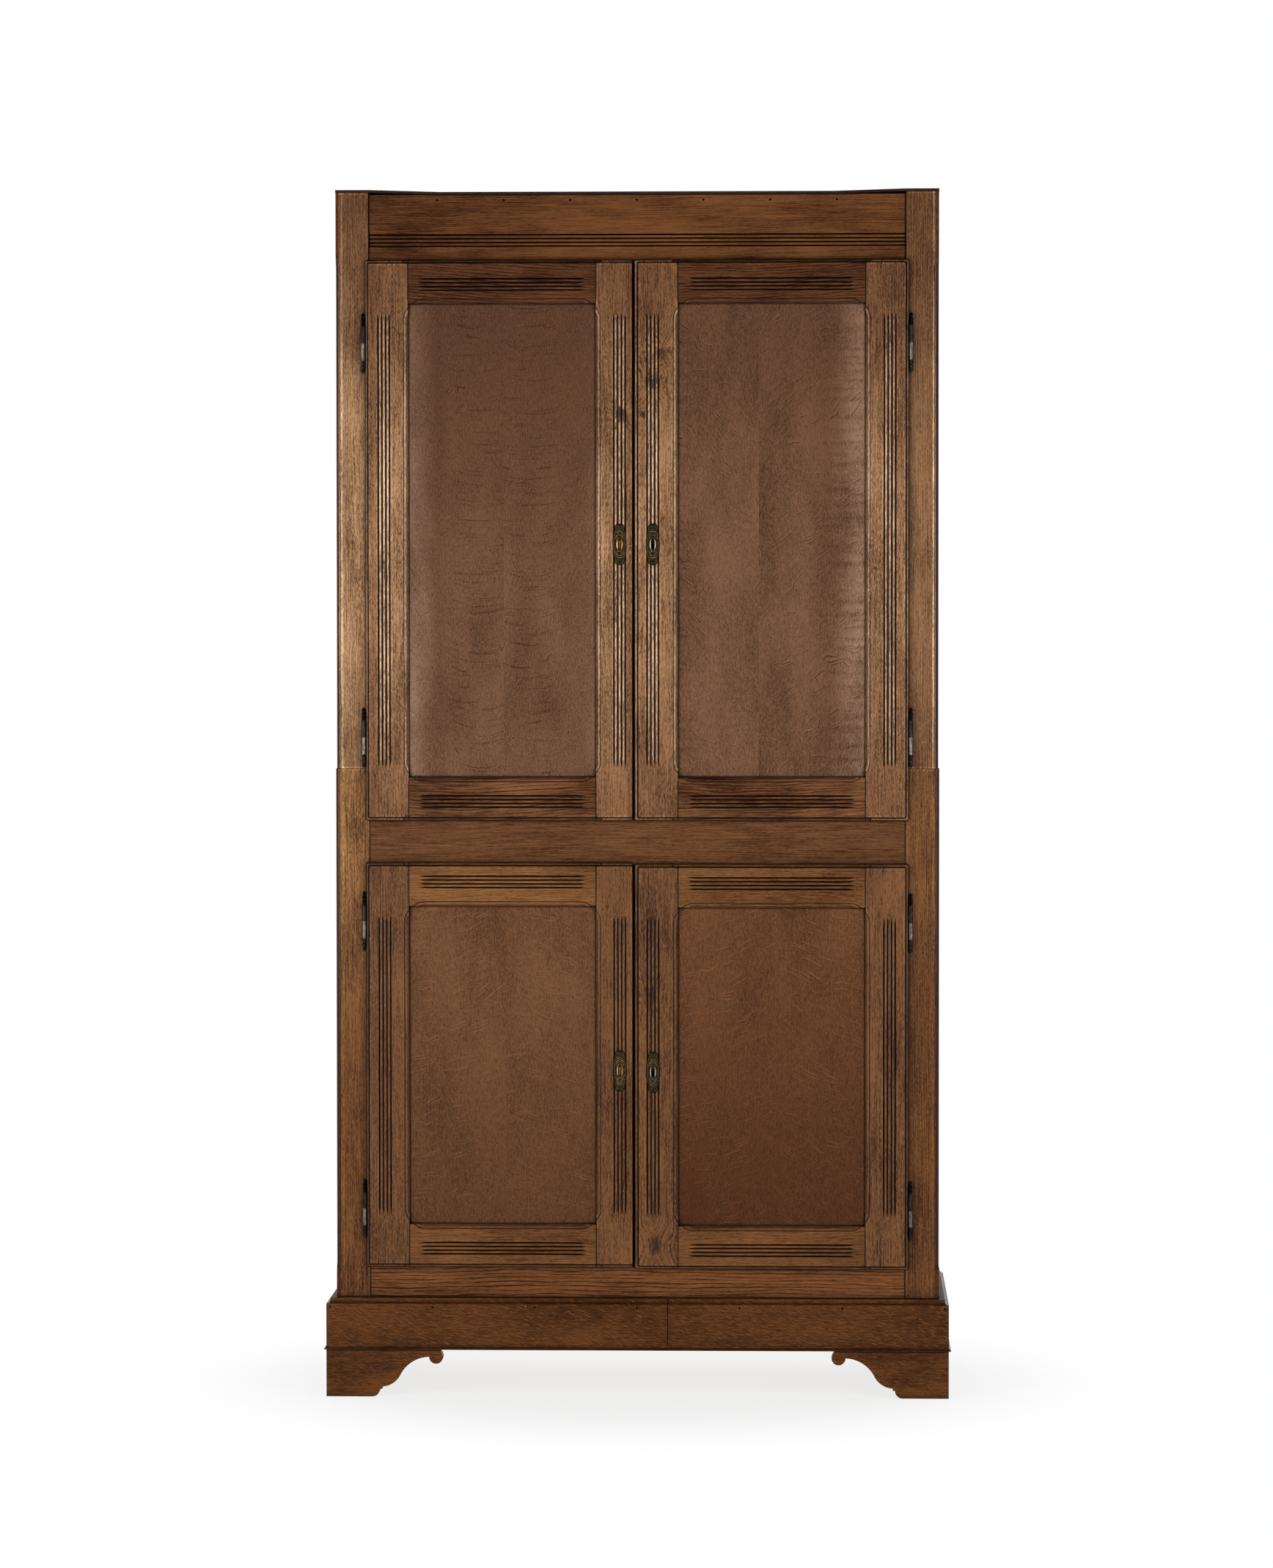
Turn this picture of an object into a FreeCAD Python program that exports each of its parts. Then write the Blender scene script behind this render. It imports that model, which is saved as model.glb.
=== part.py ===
"""Oak linen press: four lipped doors with reeded stiles in a two-part framed case.

The document keeps every driving dimension in the sheet Dims, in millimetres. X runs from the
left side to the right side, the doors face -Y and +Z is up. The origin lies on the floor, under
the middle of the press. The case stands on a plinth with a bead and on scrolled bracket feet.
"""

import FreeCAD
import Part
import Sketcher

import math
import os
from collections import defaultdict

from FreeCAD import Vector

DIMENSIONS = {
    # Case
    "case_width": 1100, "case_depth": 480, "upper_case_inset": 2,
    "post_face_width": 62, "post_depth": 48, "splice_rise": 88, "splice_tenon": 40,
    "bottom_rail_height": 63, "lower_opening_height": 727, "middle_rail_height": 89,
    "upper_opening_height": 1006, "frieze_height": 125, "post_top_rise": 4,
    "rail_thickness": 24, "rail_setback": 0.6, "frieze_setback": 2, "frieze_gap": 0.8,
    "bottom_rail_hidden": 35, "side_rail_height": 85, "corner_round": 8, "corner_quirk": 0.8,
    "corner_cutter_radius": 32, "corner_top_run": 15, "corner_foot_run": 20,
    "rail_tenon_length": 38, "side_tenon_length": 28, "tenon_shoulder": 12,
    "tenon_thickness": 8, "tenon_setback": 7, "side_setback": 2, "bearer_housing": 8,
    "splice_inset": 18, "splice_width": 22, "splice_front": 5, "splice_depth": 14,
    "cover_thickness": 5, "cover_overhang": 0.5, "cover_bend": 130,
    "board_thickness": 18, "batten_width": 20, "batten_height": 28,
    "back_board_thickness": 12, "back_rebate": 12, "back_board_gap": 1,
    "shelf_front_gap": 60, "shelf_end_gap": 0.5, "lower_shelf_height": 363,
    "upper_shelf_pitch": 251,
    # Doors
    "door_face_proud": 15, "lip_step": 4, "door_lip": 5.5, "lip_round": 3, "lip_quirk": 1.4,
    "lip_quirk_depth": 1.8, "face_round": 0.8, "lip_clearance": 0.3, "door_rear_depth": 9,
    "door_clearance": 2, "door_foot_clearance": 4, "lower_right_door_drop": 2.5,
    "meeting_offset": 6.2, "meeting_gap": 4, "meeting_lip": 7,
    "hinge_stile_width": 72.5, "left_meeting_stile_width": 66, "right_meeting_stile_width": 72,
    "door_rail_width": 73, "lip_run": 9, "lip_run_gap": 0.6, "door_tenon_length": 44,
    "panel_recess": 9, "panel_thickness": 7, "groove_depth": 9, "panel_play": 1.5,
    "tenon_groove_gap": 3,
    "moulding_width": 8.4, "moulding_depth": 7.5, "moulding_quirk": 1.3, "moulding_stop": 6.5,
    "moulding_round": 7, "moulding_cutter_radius": 28,
    # Reeds
    "reed_pitch": 7, "reed_depth": 2.8, "reed_sink": 0.2, "reed_flank": 1.2,
    "reed_cutter_radius": 60, "reed_margin": 1, "hinge_stile_band": 28.5,
    "left_meeting_band": 22.8, "right_meeting_band": 26.5, "rail_band": 28.8,
    "head_rail_band": 38.5, "stile_band_inset": 89, "rail_band_inset": 17.5,
    "frieze_band_drop": 83,
    # Hinges
    "barrel_radius": 4, "knuckle_length": 31, "finial_length": 24, "hinge_gap": 0.4,
    "hinge_forward": 8, "pin_radius": 2.4, "pin_length": 22, "pin_clearance": 0.05,
    "knuckle_gap": 0.3, "leaf_thickness": 1.2, "leaf_height": 28, "door_leaf_reach": 20,
    "post_leaf_reach": 30, "upper_hinge_inset": 90, "lower_hinge_inset": 46,
    # Key plates, locks and bolts
    "plate_height": 74, "plate_width": 25, "plate_end": 10.4, "plate_thickness": 1.5,
    "plate_sink": 0.3,
    "boss_width": 15, "boss_height": 33, "boss_rise": 2, "plate_pin_radius": 1,
    "plate_pin_pitch": 63.4, "plate_pin_length": 9, "plate_pin_head": 1.8,
    "plate_pin_rise": 0.7,
    "keyhole_radius": 3.2, "keyhole_slot": 5, "keyhole_drop": 11,
    "upper_lock_height": 496, "lower_lock_height": 354,
    "lock_width": 60, "lock_height": 70, "lock_depth": 11, "lock_wall": 1.5, "lock_inset": 5,
    "lock_bolt_width": 16, "lock_bolt_length": 45, "lock_play": 0.3,
    "lock_bolt_rise": 18, "lock_bolt_sink": 1.2,
    "keeper_width": 17, "keeper_wall": 2.5, "keeper_inset": 0.8,
    "bolt_width": 10, "bolt_thickness": 5, "bolt_length": 140, "bolt_throw": 12,
    "bolt_standoff": 0.6, "bolt_play": 0.3, "bolt_sink": 1, "bolt_from_edge": 16,
    "bolt_knob_radius": 5, "bolt_knob_length": 11.5, "bolt_knob_share": 0.6,
    "guide_length": 14, "guide_wall": 7, "guide_margin": 4,
    "guide_cover": 2, "guide_end_gap": 16, "socket_play": 0.5,
    # Plinth and feet
    "plinth_projection": 18, "plinth_height": 85, "plinth_cove": 7, "plinth_quirk": 3,
    "plinth_joint": 56, "plinth_joint_gap": 0.4, "bead_projection": 4, "bead_height": 9,
    "bead_inner": 24, "bead_nose": 2, "bead_hollow": 8,
    "foot_height": 86, "foot_thickness": 22, "foot_toe": 84, "foot_toe_round": 14,
    "foot_step": 4, "foot_swell": 40, "foot_swell_run": 32, "foot_swell_rise": 19,
    "foot_hollow": 61, "foot_hollow_run": 54, "foot_hollow_rise": 36,
    "foot_ball": 12.7, "corner_block": 50, "corner_block_clearance": 1.5,
    # Nails
    "nail_radius": 1.8, "nail_length": 30, "frieze_nail_inset": 125, "frieze_nail_drop": 10,
    "plinth_nail_inset": 7, "plinth_nail_drop": 16,
}

REEDS_IN_A_BAND = 3
FRIEZE_NAILS = 7
PLINTH_NAILS = 7
BACK_BOARDS = 5
UPPER_SHELVES = 3
LEFT, RIGHT = -1, 1
SIDE_NAMES = {LEFT: "left", RIGHT: "right"}
SAME_PLACE = 0.001

# The finial's turned outline, as shares of the barrel's radius and of the finial's length.
FINIAL_TURNING = (
    (1.0, 0.0), (0.76, 0.03), (0.76, 0.10), (1.0, 0.16), (1.0, 0.23), (0.70, 0.29),
    (0.70, 0.36), (0.96, 0.44), (0.96, 0.54), (0.62, 0.63), (0.62, 0.68), (0.86, 0.78),
    (0.50, 0.95),
)

doc = FreeCAD.newDocument("linen_press")


class Size:
    """A length known both as a sheet expression and as its value in millimetres."""

    def __init__(self, text, value):
        self.text = text
        self.value = float(value)

    def __add__(self, other):
        other = as_size(other)
        return Size(f"({self.text} + {other.text})", self.value + other.value)

    def __sub__(self, other):
        other = as_size(other)
        return Size(f"({self.text} - {other.text})", self.value - other.value)

    def __mul__(self, factor):
        factor = as_size(factor)
        return Size(f"({self.text} * {factor.text})", self.value * factor.value)

    def __truediv__(self, factor):
        factor = as_size(factor)
        return Size(f"({self.text} / {factor.text})", self.value / factor.value)

    def __neg__(self):
        return Size(f"(-{self.text})", -self.value)

    __radd__ = __add__
    __rmul__ = __mul__

    def __rsub__(self, other):
        return as_size(other) - self


def as_size(value):
    """Return value as a Size."""
    return value if isinstance(value, Size) else Size(f"({value})", value)


class Dims:
    """The driving dimensions, each read from the sheet by its alias."""

    def __init__(self, dimensions):
        self.sheet = doc.addObject("Spreadsheet::Sheet", "Dims")
        for row, (alias, value) in enumerate(dimensions.items(), start=1):
            self.sheet.set(f"A{row}", alias)
            self.sheet.set(f"B{row}", str(value))
            self.sheet.setAlias(f"B{row}", alias)
        doc.recompute()

    def __getattr__(self, alias):
        return Size(f"Dims.{alias}", self.sheet.get(alias))


d = Dims(DIMENSIONS)
nodes = []


# ---------------------------------------------------------------- building blocks

def bind_place(piece, place):
    """Bind a piece's base point to three sizes."""
    for axis, size in zip("xyz", place):
        piece.setExpression(f"Placement.Base.{axis}", as_size(size).text)


def box(name, x, y, z):
    """A box between the low and the high size given on each axis."""
    piece = doc.addObject("Part::Box", name)
    for edge, (low, high) in zip(("Length", "Width", "Height"), (x, y, z)):
        piece.setExpression(edge, (as_size(high) - low).text)
    bind_place(piece, (x[0], y[0], z[0]))
    return piece


def rod(name, radius, place, length, toward):
    """A cylinder from place along the vector toward."""
    piece = doc.addObject("Part::Cylinder", name)
    piece.setExpression("Radius", as_size(radius).text)
    piece.setExpression("Height", as_size(length).text)
    piece.Placement = FreeCAD.Placement(Vector(), FreeCAD.Rotation(Vector(0, 0, 1), toward))
    bind_place(piece, place)
    return piece


def fuse(name, pieces):
    """One solid made of pieces that share material."""
    union = doc.addObject("Part::MultiFuse", name)
    union.Shapes = pieces
    union.Refine = True
    return union


def common(name, pieces):
    """The material that all the pieces share."""
    shared = doc.addObject("Part::MultiCommon", name)
    shared.Shapes = pieces
    return shared


def group(name, pieces):
    """Separate solids that are handled as one sub-part."""
    compound = doc.addObject("Part::Compound", name)
    compound.Links = pieces
    return compound


def cut(name, base, tools):
    """The base without the tools."""
    result = doc.addObject("Part::Cut", name)
    result.Base = base
    result.Tool = tools[0] if len(tools) == 1 else group(f"{name}_tools", tools)
    result.Refine = True
    return result


def node(name, piece):
    """Register a finished sub-part under the name it is written to."""
    piece.Label = name
    nodes.append(piece)
    return piece


def mirror_span(side, low, high):
    """A span of distances from the middle plane, as x on the given side."""
    return (low, high) if side == RIGHT else (-high, -low)


def rounded_box(name, piece, radius, wanted):
    """The box with its edges rounded where wanted says so of the edge's middle point."""
    piece.recompute()
    edges = [index for index, edge in enumerate(piece.Shape.Edges, start=1)
             if wanted(edge.BoundBox.Center, piece.Shape.BoundBox)]
    rounded = doc.addObject("Part::Fillet", name)
    rounded.Base = piece
    rounded.Edges = [(index, radius.value, radius.value) for index in edges]
    return rounded


def draw_outline(sketch, corners, arcs):
    """Close an outline through the corners.

    arcs maps an edge's number to its radius and turn: 1 for a centre on the left of the way
    round, -1 for a centre on its right. Every corner and radius is bound to the sheet.
    """
    count = len(corners)
    ends = []
    for index in range(count):
        start, stop = (Vector(u.value, v.value, 0)
                       for u, v in (corners[index], corners[(index + 1) % count]))
        if index not in arcs:
            sketch.addGeometry(Part.LineSegment(start, stop), False)
            ends.append((1, 2))
            continue
        radius, turn = arcs[index]
        chord = stop - start
        to_left = Vector(-chord.y, chord.x, 0).normalize()
        rise = math.sqrt(radius.value ** 2 - (chord.Length / 2) ** 2)
        centre = (start + stop) / 2 + to_left * turn * rise
        angles = [math.atan2(point.y - centre.y, point.x - centre.x) for point in (start, stop)]
        first, last = angles if turn > 0 else reversed(angles)
        circle = Part.Circle(centre, Vector(0, 0, 1), radius.value)
        last = last if last > first else last + 2 * math.pi
        edge = sketch.addGeometry(Part.ArcOfCircle(circle, first, last), False)
        bend = sketch.addConstraint(Sketcher.Constraint("Radius", edge, radius.value))
        sketch.setExpression(f"Constraints[{bend}]", radius.text)
        ends.append((1, 2) if turn > 0 else (2, 1))
    for index, corner in enumerate(corners):
        following = (index + 1) % count
        sketch.addConstraint(
            Sketcher.Constraint("Coincident", index, ends[index][1], following, ends[following][0]))
        for kind, size in zip(("DistanceX", "DistanceY"), corner):
            place = sketch.addConstraint(
                Sketcher.Constraint(kind, index, ends[index][0], size.value))
            sketch.setExpression(f"Constraints[{place}]", size.text)


def padded(name, plane, corners, low, high, arcs=None):
    """A body padded from an outline drawn on an origin plane, between two offsets.

    On XY_Plane the outline is (x, y) and the offsets are z, on XZ_Plane it is (x, z) and they
    are y, and on YZ_Plane it is (y, z) and they are x.
    """
    body = doc.addObject("PartDesign::Body", name)
    sketch = body.newObject("Sketcher::SketchObject", f"{name}_outline")
    support = next(face for face in body.Origin.OriginFeatures if face.Role == plane)
    sketch.AttachmentSupport = (support, [""])
    sketch.MapMode = "FlatFace"
    low, high = as_size(low), as_size(high)
    offset = -high if plane == "XZ_Plane" else low
    sketch.setExpression("AttachmentOffset.Base.z", offset.text)
    draw_outline(sketch, [(as_size(u), as_size(v)) for u, v in corners], arcs or {})
    pad = body.newObject("PartDesign::Pad", f"{name}_pad")
    pad.Profile = sketch
    pad.setExpression("Length", (high - low).text)
    return body


def stopped_cutter(section, length, radius, lift, travel):
    """What a moulding cutter removes between two stops, centred on z = 0.

    The section lies in the XY plane, with the wood on +Y. The cutter leaves on the arc of its
    own radius: out of the face when lift is true, otherwise sideways towards +X. travel is how
    far it has to move to leave the wood.
    """
    angle = math.degrees(math.acos(1 - travel / radius))
    run = radius * math.sin(math.radians(angle))
    straight = length / 2 - run
    body = section.copy()
    body.translate(Vector(0, 0, -straight))
    pieces = [body.extrude(Vector(0, 0, 2 * straight))]
    box_of_section = section.BoundBox
    for end in (-1, 1):
        face = section.copy()
        face.translate(Vector(0, 0, end * straight))
        if lift:
            centre = Vector(0, box_of_section.YMax - radius, end * straight)
            axis = Vector(end, 0, 0)
        else:
            centre = Vector(radius, 0, end * straight)
            axis = Vector(0, end, 0)
        pieces.append(face.revolve(centre, axis, angle))
    return pieces[0].fuse(pieces[1:])


def reed_section():
    """The void round a band of reeds: pointed quirks with round reeds between them."""
    pitch, depth = d.reed_pitch.value, d.reed_depth.value
    half = REEDS_IN_A_BAND * pitch / 2
    edge = half + d.reed_flank.value
    above = -d.reed_margin.value
    edges = [Part.LineSegment(Vector(-edge, above, 0), Vector(-edge, 0, 0)).toShape(),
             Part.LineSegment(Vector(-edge, 0, 0), Vector(-half, depth, 0)).toShape()]
    for index in range(REEDS_IN_A_BAND):
        start = -half + index * pitch
        crest = Vector(start + pitch / 2, d.reed_sink.value, 0)
        arc = Part.Arc(Vector(start, depth, 0), crest, Vector(start + pitch, depth, 0))
        edges.append(arc.toShape())
    edges += [Part.LineSegment(Vector(half, depth, 0), Vector(edge, 0, 0)).toShape(),
              Part.LineSegment(Vector(edge, 0, 0), Vector(edge, above, 0)).toShape(),
              Part.LineSegment(Vector(edge, above, 0), Vector(-edge, above, 0)).toShape()]
    return Part.Face(Part.Wire(edges))


def ovolo_section(width, depth, quirk, rounding):
    """The void outside a rounded corner that starts with a small quirk in the face."""
    margin = d.reed_margin.value
    start = Vector(quirk, quirk, 0)
    stop = Vector(width, depth, 0)
    chord = stop - start
    sag = rounding - math.sqrt(rounding ** 2 - (chord.Length / 2) ** 2)
    outward = Vector(chord.y, -chord.x, 0).normalize()
    middle = (start + stop) / 2 + outward * sag
    points = [Vector(0, -margin, 0), Vector(0, quirk, 0), start]
    closing = [stop, Vector(width + margin, depth, 0), Vector(width + margin, -margin, 0),
               Vector(0, -margin, 0)]
    edges = [Part.LineSegment(a, b).toShape() for a, b in zip(points, points[1:])]
    edges.append(Part.Arc(start, middle, stop).toShape())
    edges += [Part.LineSegment(a, b).toShape() for a, b in zip(closing, closing[1:])]
    return Part.Face(Part.Wire(edges))


def placed_cutter(name, shape, place, across):
    """A cutter set with its middle at place, its +X along across and the wood on +Y."""
    piece = doc.addObject("Part::Feature", name)
    piece.Shape = shape
    along = across.cross(Vector(0, 1, 0))
    turn = FreeCAD.Matrix(across.x, 0, along.x, 0, across.y, 1, along.y, 0,
                          across.z, 0, along.z, 0, 0, 0, 0, 1)
    piece.Placement = FreeCAD.Placement(turn)
    bind_place(piece, place)
    return piece


def reed_band(name, length, place, across):
    """The cutter of one stopped band of reeds."""
    travel = d.reed_depth.value + d.reed_sink.value
    shape = stopped_cutter(reed_section(), length.value, d.reed_cutter_radius.value, True, travel)
    return placed_cutter(name, shape, place, across)


def panel_moulding(name, length, place, across):
    """The cutter of one stopped moulding beside a door panel."""
    section = ovolo_section(d.moulding_width.value, d.moulding_depth.value,
                            d.moulding_quirk.value, d.moulding_round.value)
    travel = d.moulding_width.value + d.moulding_quirk.value
    shape = stopped_cutter(section, length.value, d.moulding_cutter_radius.value, False, travel)
    return placed_cutter(name, shape, place, across)


def corner_rounding(name, length, place, across):
    """The cutter of a post's stopped round corner."""
    size = d.corner_round.value
    section = ovolo_section(size, size, d.corner_quirk.value, size)
    travel = size + d.corner_quirk.value
    shape = stopped_cutter(section, length.value, d.corner_cutter_radius.value, False, travel)
    return placed_cutter(name, shape, place, across)


def copy_of(master, name, place, turn_degrees=0):
    """A copy of a recomputed master, set at place and turned about +Z."""
    piece = doc.addObject("Part::Feature", name)
    piece.Shape = master.Shape.copy()
    piece.Placement = FreeCAD.Placement(Vector(), Vector(0, 0, 1), turn_degrees)
    bind_place(piece, place)
    return piece


# ---------------------------------------------------------------- levels and planes

HALF_CASE = d.case_width / 2
CASE_HALF = {"lower": HALF_CASE, "upper": HALF_CASE - d.upper_case_inset}
OPENING_HALF = HALF_CASE - d.post_face_width
FRONT = (d.plinth_projection + d.bead_projection - d.case_depth) / 2
BACK = FRONT + d.case_depth

Z_BEAD = d.foot_height
Z_PLINTH = Z_BEAD + d.bead_height
Z_CASE = Z_PLINTH + d.plinth_height
Z_LOWER = Z_CASE + d.bottom_rail_height
Z_MIDDLE = Z_LOWER + d.lower_opening_height
Z_UPPER = Z_MIDDLE + d.middle_rail_height
Z_HEAD = Z_UPPER + d.upper_opening_height
Z_FRIEZE = Z_HEAD + d.frieze_height
Z_POST = Z_FRIEZE + d.post_top_rise
Z_SPLIT = Z_UPPER + d.splice_rise
Z_BASE_RAIL = Z_CASE - d.bottom_rail_hidden

OPENING = {"lower": (Z_LOWER, Z_MIDDLE), "upper": (Z_UPPER, Z_HEAD)}
POST_SPAN = {"lower": (Z_PLINTH, Z_SPLIT), "upper": (Z_SPLIT, Z_POST)}
DEPTH_OF_POST = {"front": (FRONT, FRONT + d.post_depth), "back": (BACK - d.post_depth, BACK)}
RAIL_FRONT = FRONT + d.rail_setback
RAIL_BACK = RAIL_FRONT + d.rail_thickness
FRIEZE_FRONT = FRONT + d.frieze_setback
BACK_RAIL_SPAN = (BACK - d.back_board_thickness - d.rail_thickness,
                  BACK - d.back_board_thickness)
BOARD_BACK = BACK_RAIL_SPAN[0]

HINGE_REACH = d.door_lip + d.hinge_gap + d.barrel_radius
HINGE_U = OPENING_HALF + HINGE_REACH
HINGE_Y = FRONT - d.hinge_forward
HINGE_HALF = d.knuckle_length + d.finial_length
FACE_Y = FRONT - d.door_face_proud
LIP_Y = FACE_Y + d.lip_step
REAR_Y = FRONT + d.door_rear_depth
GROOVE_SPAN = (FACE_Y + d.panel_recess, FACE_Y + d.panel_recess + d.panel_thickness)

# Tools that other pieces leave in a post or a rail, such as mortises and sockets.
cuts = defaultdict(list)


def door_face_inner(side):
    """Distance from the middle plane to the face edge at the meeting side."""
    if side == LEFT:
        return d.meeting_offset + d.meeting_gap / 2
    return d.meeting_gap / 2 + d.meeting_lip - d.meeting_offset


def door_edge_inner(side):
    """Distance from the middle plane to the door's outermost edge at the meeting side."""
    if side == LEFT:
        return door_face_inner(LEFT)
    return d.meeting_gap / 2 - d.meeting_offset


def door_drop(level, side):
    """How much a door has sunk on its hinges."""
    return d.lower_right_door_drop if (level, side) == ("lower", RIGHT) else as_size(0)


def door_name(level, side):
    """The name that the pieces of a door start with."""
    return f"{level}_{SIDE_NAMES[side]}_door"


def door_heights(level, side):
    """Lowest and highest edge of a door's face."""
    low, high = OPENING[level]
    drop = door_drop(level, side)
    return low - drop, high - drop


def hinge_heights(level, side):
    """Middle heights of a door's two hinges."""
    low, high = door_heights(level, side)
    inset = (d.upper_hinge_inset if level == "upper" else d.lower_hinge_inset) + HINGE_HALF
    return low + inset, high - inset


def meeting_band_place(side):
    """Distance from the middle plane to the reeds of the meeting stile."""
    band = d.left_meeting_band if side == LEFT else d.right_meeting_band
    return door_face_inner(side) + band


def lock_height(level, side):
    """Height of a door's keyhole plate."""
    rise = d.upper_lock_height if level == "upper" else d.lower_lock_height
    return door_heights(level, side)[0] + rise


# ---------------------------------------------------------------- hinges

def finial_corners(sign):
    """Corners of the finial above (sign 1) or below (sign -1) a knuckle."""
    start = d.knuckle_length
    return [(d.barrel_radius * radius, (start + d.finial_length * share) * sign)
            for radius, share in FINIAL_TURNING]


def turned(name, corners):
    """A solid turned about the Z axis from corners given as radius and height."""
    sketch = doc.addObject("Sketcher::SketchObject", f"{name}_outline")
    sketch.Placement = FreeCAD.Placement(Vector(), Vector(1, 0, 0), 90)
    draw_outline(sketch, [(as_size(r), as_size(z)) for r, z in corners], {})
    solid = doc.addObject("Part::Revolution", name)
    solid.Source = sketch
    solid.Axis = Vector(0, 0, 1)
    solid.Angle = 360
    solid.Solid = True
    return solid


def hinge_masters():
    """The two halves of one hinge, with the hinge's middle at the origin."""
    bore = d.pin_radius + d.pin_clearance
    bore_top = d.pin_length + d.knuckle_gap
    tip = d.knuckle_length + d.finial_length
    half_gap = d.knuckle_gap / 2
    half_leaf = d.leaf_thickness / 2
    neck = (d.barrel_radius + bore) / 2
    margin = (d.knuckle_length - d.leaf_height) / 2
    leaf_span = (margin, margin + d.leaf_height)
    door_turning = turned("door_knuckle", [
        (bore, half_gap), (d.barrel_radius, half_gap), *finial_corners(1),
        (0, tip), (0, bore_top), (bore, bore_top)])
    door_leaf = box("door_leaf", (-d.door_leaf_reach, -neck), (-half_leaf, half_leaf), leaf_span)
    post_turning = turned("post_knuckle", [
        (0, d.pin_length), (d.pin_radius, d.pin_length), (d.pin_radius, -half_gap),
        (d.barrel_radius, -half_gap), *finial_corners(-1), (0, -tip)])
    post_leaf = box("post_leaf", (-half_leaf, half_leaf), (neck, d.post_leaf_reach),
                    (-leaf_span[1], -leaf_span[0]))
    door_half = fuse("hinge_door_half", [door_turning, door_leaf])
    post_half = fuse("hinge_post_half", [post_turning, post_leaf])
    doc.recompute()
    return door_half, post_half, leaf_span


def build_hinges():
    """All hinge halves, and the slots of their leaves in the stiles and posts."""
    door_half, post_half, (leaf_low, leaf_high) = hinge_masters()
    half_leaf = d.leaf_thickness / 2
    pintles = []
    for level in ("upper", "lower"):
        for side in (LEFT, RIGHT):
            name = door_name(level, side)
            leaves = []
            for number, height in enumerate(hinge_heights(level, side), start=1):
                place = (HINGE_U * side, HINGE_Y, height)
                turn = 0 if side == RIGHT else 180
                leaves.append(copy_of(door_half, f"{name}_leaf_{number}", place, turn))
                pintles.append(copy_of(post_half, f"{name}_pintle_{number}", place))
                cuts[f"{name}_hinge_stile"].append(box(
                    f"{name}_leaf_slot_{number}",
                    mirror_span(side, HINGE_U - d.door_leaf_reach, HINGE_U),
                    (HINGE_Y - half_leaf, HINGE_Y + half_leaf),
                    (height + leaf_low, height + leaf_high)))
                cuts[f"{level}_{SIDE_NAMES[side]}_front_post"].append(box(
                    f"{name}_pintle_slot_{number}",
                    mirror_span(side, HINGE_U - half_leaf, HINGE_U + half_leaf),
                    (HINGE_Y, HINGE_Y + d.post_leaf_reach),
                    (height - leaf_high, height - leaf_low)))
            node(f"{name}_hinge_leaves", group(f"{name}_hinge_leaves", leaves))
    node("hinge_pintles", group("hinge_pintles", pintles))


# ---------------------------------------------------------------- doors

def door_blank(level, side):
    """The door's outline in the solid: proud face, lower lip and the part in the opening."""
    name = door_name(level, side)
    low, high = door_heights(level, side)
    face_inner, edge_inner = door_face_inner(side), door_edge_inner(side)
    lip_inner_x = (edge_inner * side).value
    back = FRONT - d.lip_clearance
    lip_slab = box(f"{name}_lip_slab",
                   mirror_span(side, edge_inner, OPENING_HALF + d.door_lip),
                   (LIP_Y, back), (low - d.door_lip, high + d.door_lip))

    def on_lip(centre, bounds):
        at_front = abs(centre.y - bounds.YMin) < SAME_PLACE
        plain_edge = side == LEFT and abs(centre.x - lip_inner_x) < SAME_PLACE
        return at_front and not plain_edge

    lip = rounded_box(f"{name}_lip", lip_slab, d.lip_round, on_lip)
    quirk = box(f"{name}_quirk",
                mirror_span(side, face_inner - d.lip_quirk, OPENING_HALF + d.lip_quirk),
                (LIP_Y - d.lip_step, LIP_Y + d.lip_quirk_depth),
                (low - d.lip_quirk, high + d.lip_quirk))
    face_slab = box(f"{name}_face_slab", mirror_span(side, face_inner, OPENING_HALF),
                    (FACE_Y, back), (low, high))

    def on_face(centre, bounds):
        return abs(centre.y - bounds.YMin) < SAME_PLACE

    face = rounded_box(f"{name}_face", face_slab, d.face_round, on_face)
    rear = box(f"{name}_rear_slab",
               mirror_span(side, edge_inner, OPENING_HALF - d.door_clearance),
               (LIP_Y + d.lip_quirk_depth, REAR_Y),
               (low + d.door_foot_clearance, high - d.door_clearance))
    return fuse(f"{name}_blank", [cut(f"{name}_quirked_lip", lip, [quirk]), face, rear])


def keyhole_tools(name, level, side, y_span):
    """The keyhole as a round head with a slot below it, through y_span."""
    centre = meeting_band_place(side) * side
    height = lock_height(level, side)
    head = rod(f"{name}_keyhole_head", d.keyhole_radius, (centre, y_span[0], height),
               y_span[1] - y_span[0], Vector(0, 1, 0))
    slot = box(f"{name}_keyhole_slot",
               (centre - d.keyhole_slot / 2, centre + d.keyhole_slot / 2), y_span,
               (height - d.keyhole_drop, height))
    return [head, slot]


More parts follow.
